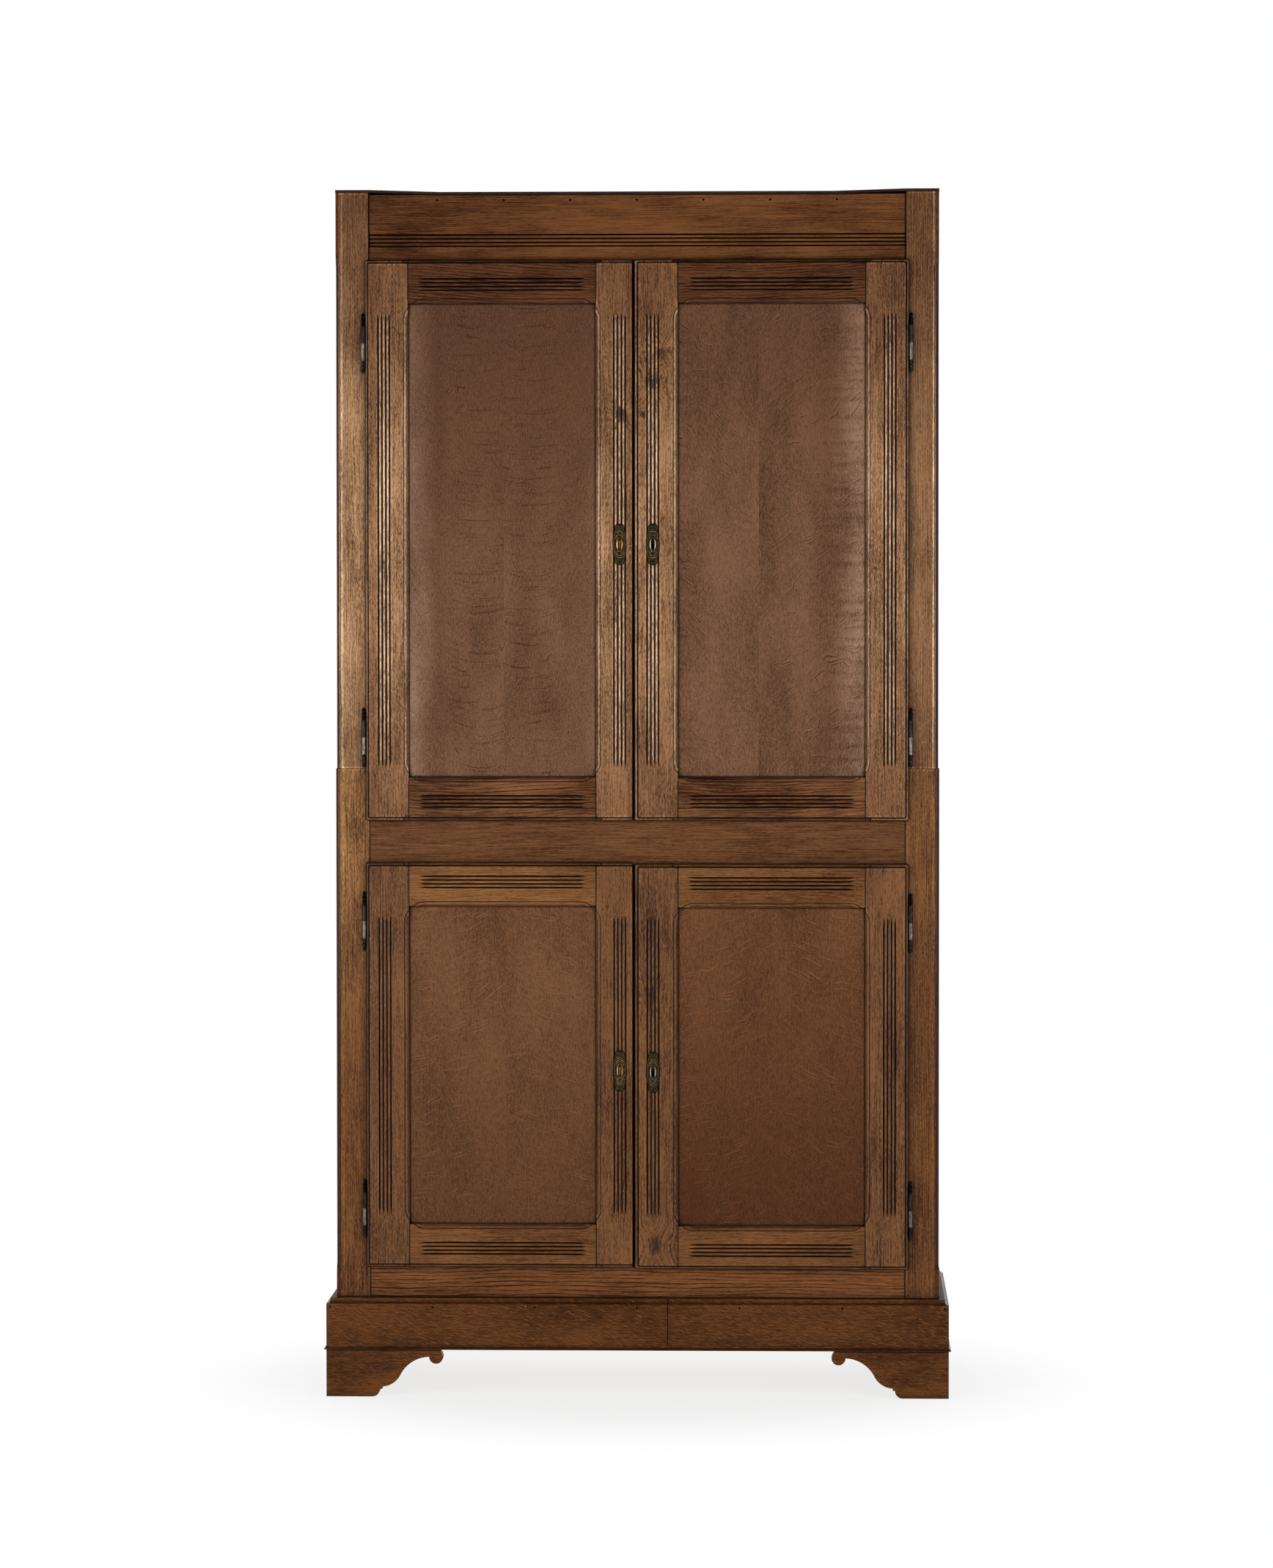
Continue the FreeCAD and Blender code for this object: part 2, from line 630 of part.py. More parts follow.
def build_door_frame(level, side):
    """The two stiles, the two rails and the panel of one door."""
    name = door_name(level, side)
    low, high = door_heights(level, side)
    blank = door_blank(level, side)
    stile_width = d.left_meeting_stile_width if side == LEFT else d.right_meeting_stile_width
    face_inner = door_face_inner(side)
    edge_inner = door_edge_inner(side)
    meeting_u = face_inner + stile_width
    hinge_u = OPENING_HALF - d.hinge_stile_width
    panel_low, panel_high = low + d.door_rail_width, high - d.door_rail_width
    whole_y = (FACE_Y - d.lip_step, REAR_Y + d.lip_step)
    whole_z = (low - d.door_lip - d.lip_step, high + d.door_lip + d.lip_step)
    outward = Vector(side, 0, 0)

    groove = box(f"{name}_groove",
                 mirror_span(side, meeting_u - d.groove_depth, hinge_u + d.groove_depth),
                 GROOVE_SPAN, (panel_low - d.groove_depth, panel_high + d.groove_depth))
    play = d.groove_depth - d.panel_play
    panel = box(f"{name}_panel", mirror_span(side, meeting_u - play, hinge_u + play),
                GROOVE_SPAN, (panel_low - play, panel_high + play))
    node(f"{name}_panel", panel)

    rails = []
    tenons = []
    notches = []
    rail_middle = (meeting_u + hinge_u) / 2 * side
    rail_length = hinge_u - meeting_u
    for end, (rail_low, rail_high) in (("bottom", (low, panel_low)), ("top", (panel_high, high))):
        at_top = end == "top"
        lip_z = (high, whole_z[1]) if at_top else (whole_z[0], low)
        zone_z = (panel_high, whole_z[1]) if at_top else (whole_z[0], panel_low)
        zone = [box(f"{name}_{end}_rail_zone", mirror_span(side, meeting_u, hinge_u),
                    whole_y, zone_z)]
        for edge, spans in (("hinge", (hinge_u, hinge_u + d.lip_run)),
                            ("meeting", (meeting_u - d.lip_run, meeting_u))):
            gap = d.lip_run_gap
            wider = (spans[0], spans[1] + gap) if edge == "hinge" else (spans[0] - gap, spans[1])
            lip_y = (whole_y[0], FRONT)
            zone.append(box(f"{name}_{end}_{edge}_lip_run", mirror_span(side, *spans),
                            lip_y, lip_z))
            notches.append((edge, box(f"{name}_{end}_{edge}_lip_notch",
                                      mirror_span(side, *wider), lip_y, lip_z)))
        plain = common(f"{name}_{end}_rail_plain",
                       [blank, fuse(f"{name}_{end}_rail_whole_zone", zone)])
        inner = d.groove_depth + d.tenon_groove_gap
        outer = d.tenon_shoulder + d.door_clearance
        tenon_z = (rail_low + inner, rail_high - outer) if at_top else (
            rail_low + outer, rail_high - inner)
        tenon = box(f"{name}_{end}_tenons",
                    mirror_span(side, meeting_u - d.door_tenon_length,
                                hinge_u + d.door_tenon_length), GROOVE_SPAN, tenon_z)
        tenons.append(tenon)
        deeper_band = at_top and level == "upper"
        band_inset = d.head_rail_band if deeper_band else d.rail_band
        band_z = rail_high - band_inset if at_top else rail_low + band_inset
        edge_z = panel_high + d.moulding_width if at_top else panel_low - d.moulding_width
        reeds = reed_band(f"{name}_{end}_rail_reeds", rail_length - d.rail_band_inset * 2,
                          (rail_middle, FACE_Y, band_z), Vector(0, 0, 1))
        moulding = panel_moulding(f"{name}_{end}_rail_moulding",
                                  rail_length - d.moulding_stop * 2,
                                  (rail_middle, FACE_Y, edge_z),
                                  Vector(0, 0, -1 if at_top else 1))
        rails.append(cut(f"{name}_{end}_rail", fuse(f"{name}_{end}_tenoned", [plain, tenon]),
                         [groove, reeds, moulding]))
    node(f"{name}_rails", group(f"{name}_rails", rails))

    stiles = (
        ("hinge", (hinge_u, OPENING_HALF + d.door_lip * 2),
         OPENING_HALF - d.hinge_stile_band, hinge_u + d.moulding_width, -outward),
        ("meeting", (edge_inner - d.door_lip, meeting_u),
         meeting_band_place(side), meeting_u - d.moulding_width, outward),
    )
    middle_z = (low + high) / 2
    for kind, zone_u, band_u, edge_u, across in stiles:
        zone = box(f"{name}_{kind}_stile_zone", mirror_span(side, *zone_u), whole_y, whole_z)
        plain = common(f"{name}_{kind}_stile_plain", [blank, zone])
        reeds = reed_band(f"{name}_{kind}_stile_reeds", high - low - d.stile_band_inset * 2,
                          (band_u * side, FACE_Y, middle_z), outward)
        moulding = panel_moulding(f"{name}_{kind}_stile_moulding",
                                  panel_high - panel_low - d.moulding_stop * 2,
                                  (edge_u * side, FACE_Y, middle_z), across)
        own_notches = [tool for edge, tool in notches if edge == kind]
        tools = [groove, reeds, moulding, *tenons, *own_notches,
                 *cuts[f"{name}_{kind}_stile"]]
        node(f"{name}_{kind}_stile", cut(f"{name}_{kind}_stile", plain, tools))


def build_escutcheon(level, side):
    """A keyhole plate with a raised oval boss, its two pins and their places in the stile."""
    name = door_name(level, side)
    stile_cuts = cuts[f"{name}_meeting_stile"]
    centre = meeting_band_place(side) * side
    height = lock_height(level, side)
    back = FACE_Y + d.plate_sink
    front = FACE_Y - d.plate_thickness
    half_height = d.plate_height / 2
    half_end = d.plate_end / 2
    sag = (d.plate_width - d.plate_end) / 2
    side_radius = (half_height * half_height + sag * sag) / (sag * 2)
    plate = padded(f"{name}_plate_blank", "XZ_Plane",
                   [(centre - half_end, height - half_height),
                    (centre + half_end, height - half_height),
                    (centre + half_end, height + half_height),
                    (centre - half_end, height + half_height)],
                   front, back, {1: (side_radius, 1), 3: (side_radius, 1)})
    oval = doc.addObject("Part::Ellipsoid", f"{name}_oval")
    oval.setExpression("Radius1", (d.plate_thickness + d.boss_rise).text)
    oval.setExpression("Radius2", (d.boss_width / 2).text)
    oval.setExpression("Radius3", (d.boss_height / 2).text)
    oval.Placement = FreeCAD.Placement(Vector(), Vector(1, 0, 0), 90)
    bind_place(oval, (centre, FACE_Y, height))
    front_half = box(f"{name}_front_half", (centre - d.boss_width, centre + d.boss_width),
                     (FACE_Y - d.boss_height, back - d.plate_thickness / 2),
                     (height - d.boss_height, height + d.boss_height))
    boss = common(f"{name}_boss", [oval, front_half])
    shanks = []
    pins = []
    for number, sign in enumerate((1, -1), start=1):
        pin_z = height + d.plate_pin_pitch / 2 * sign
        shank = rod(f"{name}_pin_shank_{number}", d.plate_pin_radius, (centre, front, pin_z),
                    d.plate_pin_length, Vector(0, 1, 0))
        head = rod(f"{name}_pin_head_{number}", d.plate_pin_head,
                   (centre, front - d.plate_pin_rise, pin_z), d.plate_pin_rise,
                   Vector(0, 1, 0))
        shanks.append(shank)
        pins.append(fuse(f"{name}_pin_{number}", [shank, head]))
    tools = shanks + keyhole_tools(name, level, side, (FACE_Y - d.boss_height, back))
    finished = cut(f"{name}_plate", fuse(f"{name}_bossed_plate", [plate, boss]), tools)
    stile_cuts += [plate, *shanks]
    if side == RIGHT:
        stile_cuts += keyhole_tools(f"{name}_stile", level, side, (FACE_Y, REAR_Y + d.lock_wall))
    node(f"{name}_escutcheon", group(f"{name}_escutcheon", [finished, *pins]))


def build_lock(level):
    """The rim lock on a right door, its sliding bolt, and the keeper on the left door."""
    door = door_name(level, RIGHT)
    height = lock_height(level, RIGHT)
    edge = door_edge_inner(RIGHT)
    inner_back = REAR_Y + d.lock_depth - d.lock_wall
    case_x = (edge + d.lock_inset, edge + d.lock_inset + d.lock_width)
    case_z = (height - d.lock_height / 2, height + d.lock_height / 2)
    bolt_z = (height + d.lock_bolt_rise - d.lock_bolt_width / 2,
              height + d.lock_bolt_rise + d.lock_bolt_width / 2)
    play, wall = d.lock_play, d.lock_wall
    shell = box(f"{door}_lock_shell", case_x, (REAR_Y, REAR_Y + d.lock_depth), case_z)
    cavity = box(f"{door}_lock_cavity", (case_x[0] + wall, case_x[1] - wall),
                 (REAR_Y, inner_back), (case_z[0] + wall, case_z[1] - wall))
    ribs = box(f"{door}_lock_ribs", case_x, (REAR_Y, inner_back),
               (bolt_z[0] - play - wall, bolt_z[1] + play + wall))
    tunnel = box(f"{door}_lock_tunnel", (case_x[0], case_x[1] - wall), (REAR_Y, inner_back),
                 (bolt_z[0] - play, bolt_z[1] + play))
    hollow = cut(f"{door}_lock_hollow", shell, [cavity])
    node(f"{door}_lock_case",
         cut(f"{door}_lock_case", fuse(f"{door}_lock_ribbed", [hollow, ribs]), [tunnel]))
    tip = edge + d.lock_bolt_sink
    node(f"{door}_lock_bolt",
         box(f"{door}_lock_bolt", (tip, tip + d.lock_bolt_length),
             (REAR_Y + play, inner_back - play), bolt_z))
    keeper_end = door_face_inner(LEFT) + d.keeper_inset
    keeper_x = mirror_span(LEFT, keeper_end, keeper_end + d.keeper_width)
    staple = box(f"{level}_keeper_block", keeper_x, (REAR_Y, REAR_Y + d.lock_depth),
                 (bolt_z[0] - d.socket_play - d.keeper_wall,
                  bolt_z[1] + d.socket_play + d.keeper_wall))
    mouth = box(f"{level}_keeper_mouth", keeper_x, (REAR_Y, inner_back),
                (bolt_z[0] - d.socket_play, bolt_z[1] + d.socket_play))
    keeper = f"{door_name(level, LEFT)}_keeper"
    node(keeper, cut(keeper, staple, [mouth]))


def build_slide_bolts(level):
    """The two slide bolts of a left door, their guides, and the sockets in the rails."""
    door = door_name(level, LEFT)
    low, high = door_heights(level, LEFT)
    near = door_edge_inner(LEFT) + d.bolt_from_edge
    bolt_x = mirror_span(LEFT, near, near + d.bolt_width)
    bolt_y = (REAR_Y + d.bolt_standoff, REAR_Y + d.bolt_standoff + d.bolt_thickness)
    ends = (("bottom", low, low + d.door_foot_clearance, 1),
            ("top", high, high - d.door_clearance, -1))
    guides = []
    for end, opening_edge, door_edge, inward in ends:

        def heights(first, last):
            spots = (door_edge + first * inward, door_edge + last * inward)
            return spots if inward > 0 else spots[::-1]

        bar = box(f"{door}_{end}_bolt_bar", bolt_x, bolt_y,
                  heights(d.bolt_sink, d.bolt_sink + d.bolt_length))
        knob_z = door_edge + (d.bolt_sink + d.bolt_length * d.bolt_knob_share) * inward
        knob = rod(f"{door}_{end}_bolt_knob", d.bolt_knob_radius,
                   ((bolt_x[0] + bolt_x[1]) / 2, bolt_y[0] + d.bolt_thickness / 2, knob_z),
                   d.bolt_knob_length, Vector(0, 1, 0))
        node(f"{door}_{end}_bolt", fuse(f"{door}_{end}_bolt", [bar, knob]))
        last_end = d.bolt_sink + d.bolt_length - d.bolt_throw - d.guide_margin
        spots = (d.guide_end_gap, last_end - d.guide_length)
        for number, start in enumerate(spots, start=1):
            block = box(f"{door}_{end}_guide_block_{number}",
                        (bolt_x[0] - d.guide_wall, bolt_x[1] + d.guide_wall),
                        (REAR_Y, bolt_y[1] + d.bolt_play + d.guide_cover),
                        heights(start, start + d.guide_length))
            way = box(f"{door}_{end}_guide_way_{number}",
                      (bolt_x[0] - d.bolt_play, bolt_x[1] + d.bolt_play),
                      (REAR_Y, bolt_y[1] + d.bolt_play),
                      heights(start, start + d.guide_length))
            guides.append(cut(f"{door}_{end}_guide_{number}", block, [way]))
        socket_z = (opening_edge, opening_edge + d.bolt_throw) if end == "top" else (
            opening_edge - d.bolt_throw, opening_edge)
        play = d.socket_play
        cuts[SOCKET_PIECE[level, end]].append(
            box(f"{door}_{end}_socket", (bolt_x[0] - play, bolt_x[1] + play),
                (bolt_y[0] - play, bolt_y[1] + play), socket_z))
    node(f"{door}_bolt_guides", group(f"{door}_bolt_guides", guides))


# ---------------------------------------------------------------- case

SOCKET_PIECE = {("lower", "bottom"): "bottom_rail", ("lower", "top"): "middle_rail",
                ("upper", "bottom"): "middle_rail", ("upper", "top"): "frieze_board"}
FRAME_RAILS = {
    "lower": ((Z_BASE_RAIL, Z_LOWER), (Z_MIDDLE, Z_SPLIT)),
    "upper": ((Z_SPLIT, Z_SPLIT + d.side_rail_height), (Z_FRIEZE - d.side_rail_height, Z_FRIEZE)),
}
SHELF_TOPS = {
    "lower": [Z_LOWER + d.lower_shelf_height],
    "upper": [Z_UPPER + d.upper_shelf_pitch * number for number in range(1, UPPER_SHELVES + 1)],
}


def post_name(level, side, place):
    """The name of one of the eight posts."""
    return f"{level}_{SIDE_NAMES[side]}_{place}_post"


def cross_rail(name, level, place, front, heights, end_gap, tools):
    """A rail between two posts, with a tenon into each."""
    half = OPENING_HALF - end_gap
    reach = OPENING_HALF + d.rail_tenon_length
    body = box(f"{name}_body", (-half, half), (front, front + d.rail_thickness), heights)
    tenon = box(f"{name}_tenons", (-reach, reach),
                (front + d.tenon_setback, front + d.tenon_setback + d.tenon_thickness),
                (heights[0] + d.tenon_shoulder, heights[1] - d.tenon_shoulder))
    for side in (LEFT, RIGHT):
        cuts[post_name(level, side, place)].append(tenon)
    whole = fuse(f"{name}_whole", [body, tenon])
    return cut(name, whole, tools) if tools else whole


def build_front_rails():
    """The bottom rail, the middle rail and the reeded frieze board."""
    node("bottom_rail", cross_rail("bottom_rail", "lower", "front", RAIL_FRONT,
                                   (Z_BASE_RAIL, Z_LOWER), as_size(0), cuts["bottom_rail"]))
    node("middle_rail", cross_rail("middle_rail", "lower", "front", RAIL_FRONT,
                                   (Z_MIDDLE, Z_UPPER), as_size(0), cuts["middle_rail"]))
    length = (OPENING_HALF + d.reed_cutter_radius) * 2
    reeds = reed_band("frieze_reeds", length,
                      (as_size(0), FRIEZE_FRONT, Z_FRIEZE - d.frieze_band_drop),
                      Vector(0, 0, 1))
    node("frieze_board", cross_rail("frieze_board", "upper", "front", FRIEZE_FRONT,
                                    (Z_HEAD, Z_FRIEZE), d.frieze_gap,
                                    [reeds, *cuts["frieze_board"]]))


def build_frames():
    """The side rails and panels, and the back rails and boards."""
    side_rails, side_panels, back_rails, back_boards = [], [], [], []
    inside = (FRONT + d.post_depth, BACK - d.post_depth)
    tenon_reach = d.side_tenon_length
    play = d.groove_depth - d.panel_play
    for level, (low_rail, high_rail) in FRAME_RAILS.items():
        for side in (LEFT, RIGHT):
            name = f"{level}_{SIDE_NAMES[side]}_side"
            outer = CASE_HALF[level] - d.side_setback
            panel_x = mirror_span(side, outer - d.panel_recess - d.panel_thickness,
                                  outer - d.panel_recess)
            groove = box(f"{name}_groove", panel_x,
                         (inside[0] - d.groove_depth, inside[1] + d.groove_depth),
                         (low_rail[1] - d.groove_depth, high_rail[0] + d.groove_depth))
            side_panels.append(box(f"{name}_panel", panel_x,
                                   (inside[0] - play, inside[1] + play),
                                   (low_rail[1] - play, high_rail[0] + play)))
            for place in ("front", "back"):
                cuts[post_name(level, side, place)].append(groove)
            for end, (low, high) in (("bottom", low_rail), ("top", high_rail)):
                body = box(f"{name}_{end}_rail_body",
                           mirror_span(side, outer - d.rail_thickness, outer), inside,
                           (low, high))
                tenon = box(f"{name}_{end}_rail_tenons",
                            mirror_span(side, outer - d.tenon_setback - d.tenon_thickness,
                                        outer - d.tenon_setback),
                            (inside[0] - tenon_reach, inside[1] + tenon_reach),
                            (low + d.tenon_shoulder, high - d.tenon_shoulder))
                for place in ("front", "back"):
                    cuts[post_name(level, side, place)].append(tenon)
                side_rails.append(cut(f"{name}_{end}_rail",
                                      fuse(f"{name}_{end}_rail_whole", [body, tenon]),
                                      [groove]))
        for end, heights in (("bottom", low_rail), ("top", high_rail)):
            back_rails.append(cross_rail(f"{level}_{end}_back_rail", level, "back",
                                         BACK_RAIL_SPAN[0], heights, as_size(0), []))
        reach = OPENING_HALF + d.back_rebate
        pitch = reach * 2 / BACK_BOARDS
        for number in range(BACK_BOARDS):
            start = -reach + pitch * number
            back_boards.append(box(f"{level}_back_board_{number + 1}",
                                   (start, start + pitch - d.back_board_gap),
                                   (BACK_RAIL_SPAN[1], BACK), (low_rail[0], high_rail[1])))
    node("side_rails", group("side_rails", side_rails))
    node("side_panels", group("side_panels", side_panels))
    node("back_rails", group("back_rails", back_rails))
    node("back_boards", group("back_boards", back_boards))


def board_between_posts(name, half, front, back, top, clearance):
    """A level board with its corners notched round the posts."""
    heights = (top - d.board_thickness, top)
    whole = box(f"{name}_whole", (-half, half), (front, back), heights)
    notches = []
    for side in (LEFT, RIGHT):
        for place, (post_front, post_back) in DEPTH_OF_POST.items():
            notches.append(box(f"{name}_{SIDE_NAMES[side]}_{place}_notch",
                               mirror_span(side, OPENING_HALF - clearance,
                                           HALF_CASE + clearance),
                               (post_front - clearance, post_back + clearance), heights))
    return cut(name, whole, notches)


def build_floors():
    """The two floors, the roof board, the shelves, and the bearers that carry them."""
    gap = d.shelf_end_gap
    boards = (("lower_floor", "lower", Z_LOWER, RAIL_BACK),
              ("upper_floor", "lower", Z_UPPER, RAIL_BACK),
              ("roof", "upper", Z_FRIEZE, FRIEZE_FRONT + d.rail_thickness))
    floors = {}
    bearer_tops = []
    for name, level, top, front in boards:
        half = CASE_HALF[level] - d.side_setback - d.rail_thickness - gap
        floors[name] = board_between_posts(f"{name}_boards", half, front, BOARD_BACK, top, gap)
        bearer_tops.append((name, level, top - d.board_thickness))
    nails = cuts["frieze_nails"]
    node("roof_board", cut("roof_board", floors["roof"], nails))
    node("floor_boards", group("floor_boards", [floors["lower_floor"], floors["upper_floor"]]))
    shelves = []
    for level, tops in SHELF_TOPS.items():
        for number, top in enumerate(tops, start=1):
            name = f"{level}_shelf_{number}"
            shelves.append(board_between_posts(
                name, OPENING_HALF + d.batten_width - gap, FRONT + d.shelf_front_gap,
                BACK_RAIL_SPAN[1] - gap, top, gap))
            bearer_tops.append((name, level, top - d.board_thickness))
    node("shelves", group("shelves", shelves))
    bearers = []
    for name, level, top in bearer_tops:
        for side in (LEFT, RIGHT):
            bearer = box(f"{name}_{SIDE_NAMES[side]}_bearer",
                         mirror_span(side, OPENING_HALF, OPENING_HALF + d.batten_width),
                         (FRONT + d.post_depth - d.bearer_housing,
                          BACK - d.post_depth + d.bearer_housing),
                         (top - d.batten_height, top))
            bearers.append(bearer)
            for place in ("front", "back"):
                cuts[post_name(level, side, place)].append(bearer)
    node("board_bearers", group("board_bearers", bearers))


def build_posts():
    """The eight posts; each upper one stands on the splice tenon of the lower one."""
    back_posts = []
    for side in (LEFT, RIGHT):
        for place, y_span in DEPTH_OF_POST.items():
            tenon_u = OPENING_HALF + d.splice_inset
            splice = box(f"{SIDE_NAMES[side]}_{place}_splice_tenon",
                         mirror_span(side, tenon_u, tenon_u + d.splice_width),
                         (y_span[0] + d.splice_front, y_span[0] + d.splice_front + d.splice_depth),
                         (Z_SPLIT, Z_SPLIT + d.splice_tenon))
            for level, (low, high) in POST_SPAN.items():
                name = post_name(level, side, place)
                body = box(f"{name}_body", mirror_span(side, OPENING_HALF, CASE_HALF[level]),
                           y_span, (low, high))
                tools = list(cuts[name])
                if place == "front":
                    overrun = d.corner_cutter_radius
                    start, stop = ((Z_LOWER - d.corner_foot_run, Z_SPLIT + overrun)
                                   if level == "lower" else
                                   (Z_SPLIT - overrun, Z_HEAD + d.corner_top_run))
                    tools.append(corner_rounding(
                        f"{name}_round", stop - start,
                        ((CASE_HALF[level] - d.corner_round) * side, FRONT,
                         (start + stop) / 2), Vector(side, 0, 0)))
                else:
                    tools.append(box(f"{name}_rebate",
                                     mirror_span(side, OPENING_HALF,
                                                 OPENING_HALF + d.back_rebate),
                                     (BACK_RAIL_SPAN[1], BACK), (low, high)))
                if level == "lower":
                    body = fuse(f"{name}_tenoned", [body, splice])
                else:
                    tools.append(splice)
                post = cut(name, body, tools)
                if place == "front":
                    node(name, post)
                else:
                    back_posts.append(post)
    node("back_posts", group("back_posts", back_posts))


def build_cover_board():
    """The thin top board: flat on the post heads, bent down to the frieze between them."""
    half = CASE_HALF["upper"] + d.cover_overhang
    bend = OPENING_HALF - d.cover_bend
    thickness = d.cover_thickness
    node("top_cover_board", padded(
        "top_cover_board", "XZ_Plane",
        [(-half, Z_POST), (-OPENING_HALF, Z_POST), (-bend, Z_FRIEZE), (bend, Z_FRIEZE),
         (OPENING_HALF, Z_POST), (half, Z_POST), (half, Z_POST + thickness),
         (OPENING_HALF, Z_POST + thickness), (bend, Z_FRIEZE + thickness),
         (-bend, Z_FRIEZE + thickness), (-OPENING_HALF, Z_POST + thickness),
         (-half, Z_POST + thickness)],
        FRONT, BACK))


# ---------------------------------------------------------------- plinth, feet and nails

def mirrored(points, side):
    """Outline points as they stand on the right side, turned over for the left side."""
    return points if side == RIGHT else [(-u, v) for u, v in reversed(points)]


def mirrored_arcs(arcs, count, side):
    """Edge numbers of an outline's arcs after mirrored has turned the outline over."""
    return arcs if side == RIGHT else {count - 2 - edge: arc for edge, arc in arcs.items()}


def plinth_section(inner, outer):
    """The plinth's outline; its outer face lies at outer and its back at inner."""
    return [(inner, Z_PLINTH), (outer, Z_PLINTH),
            (outer, Z_CASE - d.plinth_quirk - d.plinth_cove),
            (outer - d.plinth_cove, Z_CASE - d.plinth_quirk),
            (outer - d.plinth_cove, Z_CASE), (inner, Z_CASE)], {2: (d.plinth_cove, -1)}


def bead_section(inner, outer):
    """The bead's outline: a small nose below and a hollow up to the plinth's face."""
    return [(inner, Z_BEAD), (outer - d.bead_nose, Z_BEAD), (outer, Z_BEAD + d.bead_nose),
            (outer - d.bead_projection, Z_PLINTH), (inner, Z_PLINTH)], {
                1: (d.bead_nose, 1), 2: (d.bead_hollow, -1)}


def mitred_set(name, section, projection, inner, joint):
    """Strips of one section along the front and both sides, mitred at the front corners."""
    outer = HALF_CASE + projection
    inner_u = HALF_CASE - inner
    points, arcs = section(-(FRONT + inner), projection - FRONT)
    along = [(-u, v) for u, v in reversed(points)]
    front_strip = padded(f"{name}_front_strip", "YZ_Plane", along, -outer, outer,
                         {len(points) - 2 - edge: arc for edge, arc in arcs.items()})
    front_outer, front_inner = FRONT - projection, FRONT + inner
    heights = (Z_BEAD, Z_CASE)
    front_pieces = []
    for side in (LEFT, RIGHT):
        if joint is None and side == RIGHT:
            continue
        near = -outer if joint is None else (
            -(d.plinth_joint - joint / 2) if side == LEFT else d.plinth_joint + joint / 2)
        if joint is None:
            plan = [(-outer, front_outer), (outer, front_outer), (inner_u, front_inner),
                    (-inner_u, front_inner)]
        else:
            plan = mirrored([(near, front_outer), (outer, front_outer),
                             (inner_u, front_inner), (near, front_inner)], side)
        template = padded(f"{name}_front_plan_{SIDE_NAMES[side]}", "XY_Plane", plan, *heights)
        front_pieces.append(common(f"{name}_front_{SIDE_NAMES[side]}", [front_strip, template]))
    side_pieces = []
    for side in (LEFT, RIGHT):
        points, arcs = section(inner_u, outer)
        strip = padded(f"{name}_{SIDE_NAMES[side]}_strip", "XZ_Plane", mirrored(points, side),
                       front_outer, BACK, mirrored_arcs(arcs, len(points), side))
        plan = mirrored([(outer, front_outer), (outer, BACK), (inner_u, BACK),
                         (inner_u, front_inner)], side)
        template = padded(f"{name}_{SIDE_NAMES[side]}_plan", "XY_Plane", plan, *heights)
        side_pieces.append(common(f"{name}_{SIDE_NAMES[side]}", [strip, template]))
    return front_pieces, side_pieces


def foot_outline(start):
    """The bracket foot's outline from its outer end: toe, swell, hollow and ball."""
    toe_end = d.foot_toe + d.foot_toe_round
    swell_end = toe_end + d.foot_step + d.foot_swell_run
    swell_top = d.foot_toe_round + d.foot_step + d.foot_swell_rise
    ball_u = swell_end + d.foot_hollow_run + d.foot_ball
    ball_z = swell_top + d.foot_hollow_rise
    end_u = ball_u + d.foot_ball * math.cos(math.radians(60))
    end_z = ball_z + d.foot_ball * math.sin(math.radians(60))
    points = [
        (start, as_size(0)), (d.foot_toe, as_size(0)), (toe_end, d.foot_toe_round),
        (toe_end + d.foot_step, d.foot_toe_round),
        (toe_end + d.foot_step, d.foot_toe_round + d.foot_step),
        (swell_end, swell_top), (swell_end + d.foot_hollow_run, ball_z),
        (ball_u, ball_z - d.foot_ball), (end_u, end_z), (end_u, Z_BEAD), (start, Z_BEAD)]
    arcs = {1: (d.foot_toe_round, 1), 4: (d.foot_swell, 1), 5: (d.foot_hollow, -1),
            6: (d.foot_ball, 1), 7: (d.foot_ball, 1)}
    return points, arcs


def build_feet():
    """Two front brackets, four side brackets and four corner blocks."""
    outer = HALF_CASE + d.plinth_projection
    front = FRONT - d.plinth_projection
    brackets, blocks = [], []
    for side in (LEFT, RIGHT):
        label = SIDE_NAMES[side]
        points, arcs = foot_outline(as_size(0))
        from_corner = [(outer - u, v) for u, v in points]
        turned_over = mirrored(from_corner, -side)
        brackets.append(padded(
            f"front_{label}_bracket", "XZ_Plane",
            [(-u, v) for u, v in turned_over],
            front, front + d.foot_thickness,
            mirrored_arcs(arcs, len(points), -side)))
        points, arcs = foot_outline(d.foot_thickness)
        brackets.append(padded(
            f"front_{label}_side_bracket", "YZ_Plane", [(front + u, v) for u, v in points],
            *mirror_span(side, outer - d.foot_thickness, outer), arcs))
        points, arcs = foot_outline(as_size(0))
        brackets.append(padded(
            f"back_{label}_side_bracket", "YZ_Plane",
            [(BACK - u, v) for u, v in reversed(points)],
            *mirror_span(side, outer - d.foot_thickness, outer),
            mirrored_arcs(arcs, len(points), LEFT)))
        block_u = outer - d.foot_thickness - d.corner_block
        front_block = front + d.foot_thickness
        for place, y_span in (("front", (front_block, front_block + d.corner_block)),
                              ("back", (BACK - d.corner_block, BACK))):
            blocks.append(box(f"{place}_{label}_corner_block",
                              mirror_span(side, block_u, block_u + d.corner_block), y_span,
                              (d.corner_block_clearance, Z_BEAD)))
    node("bracket_feet", group("bracket_feet", brackets))
    node("corner_blocks", group("corner_blocks", blocks))


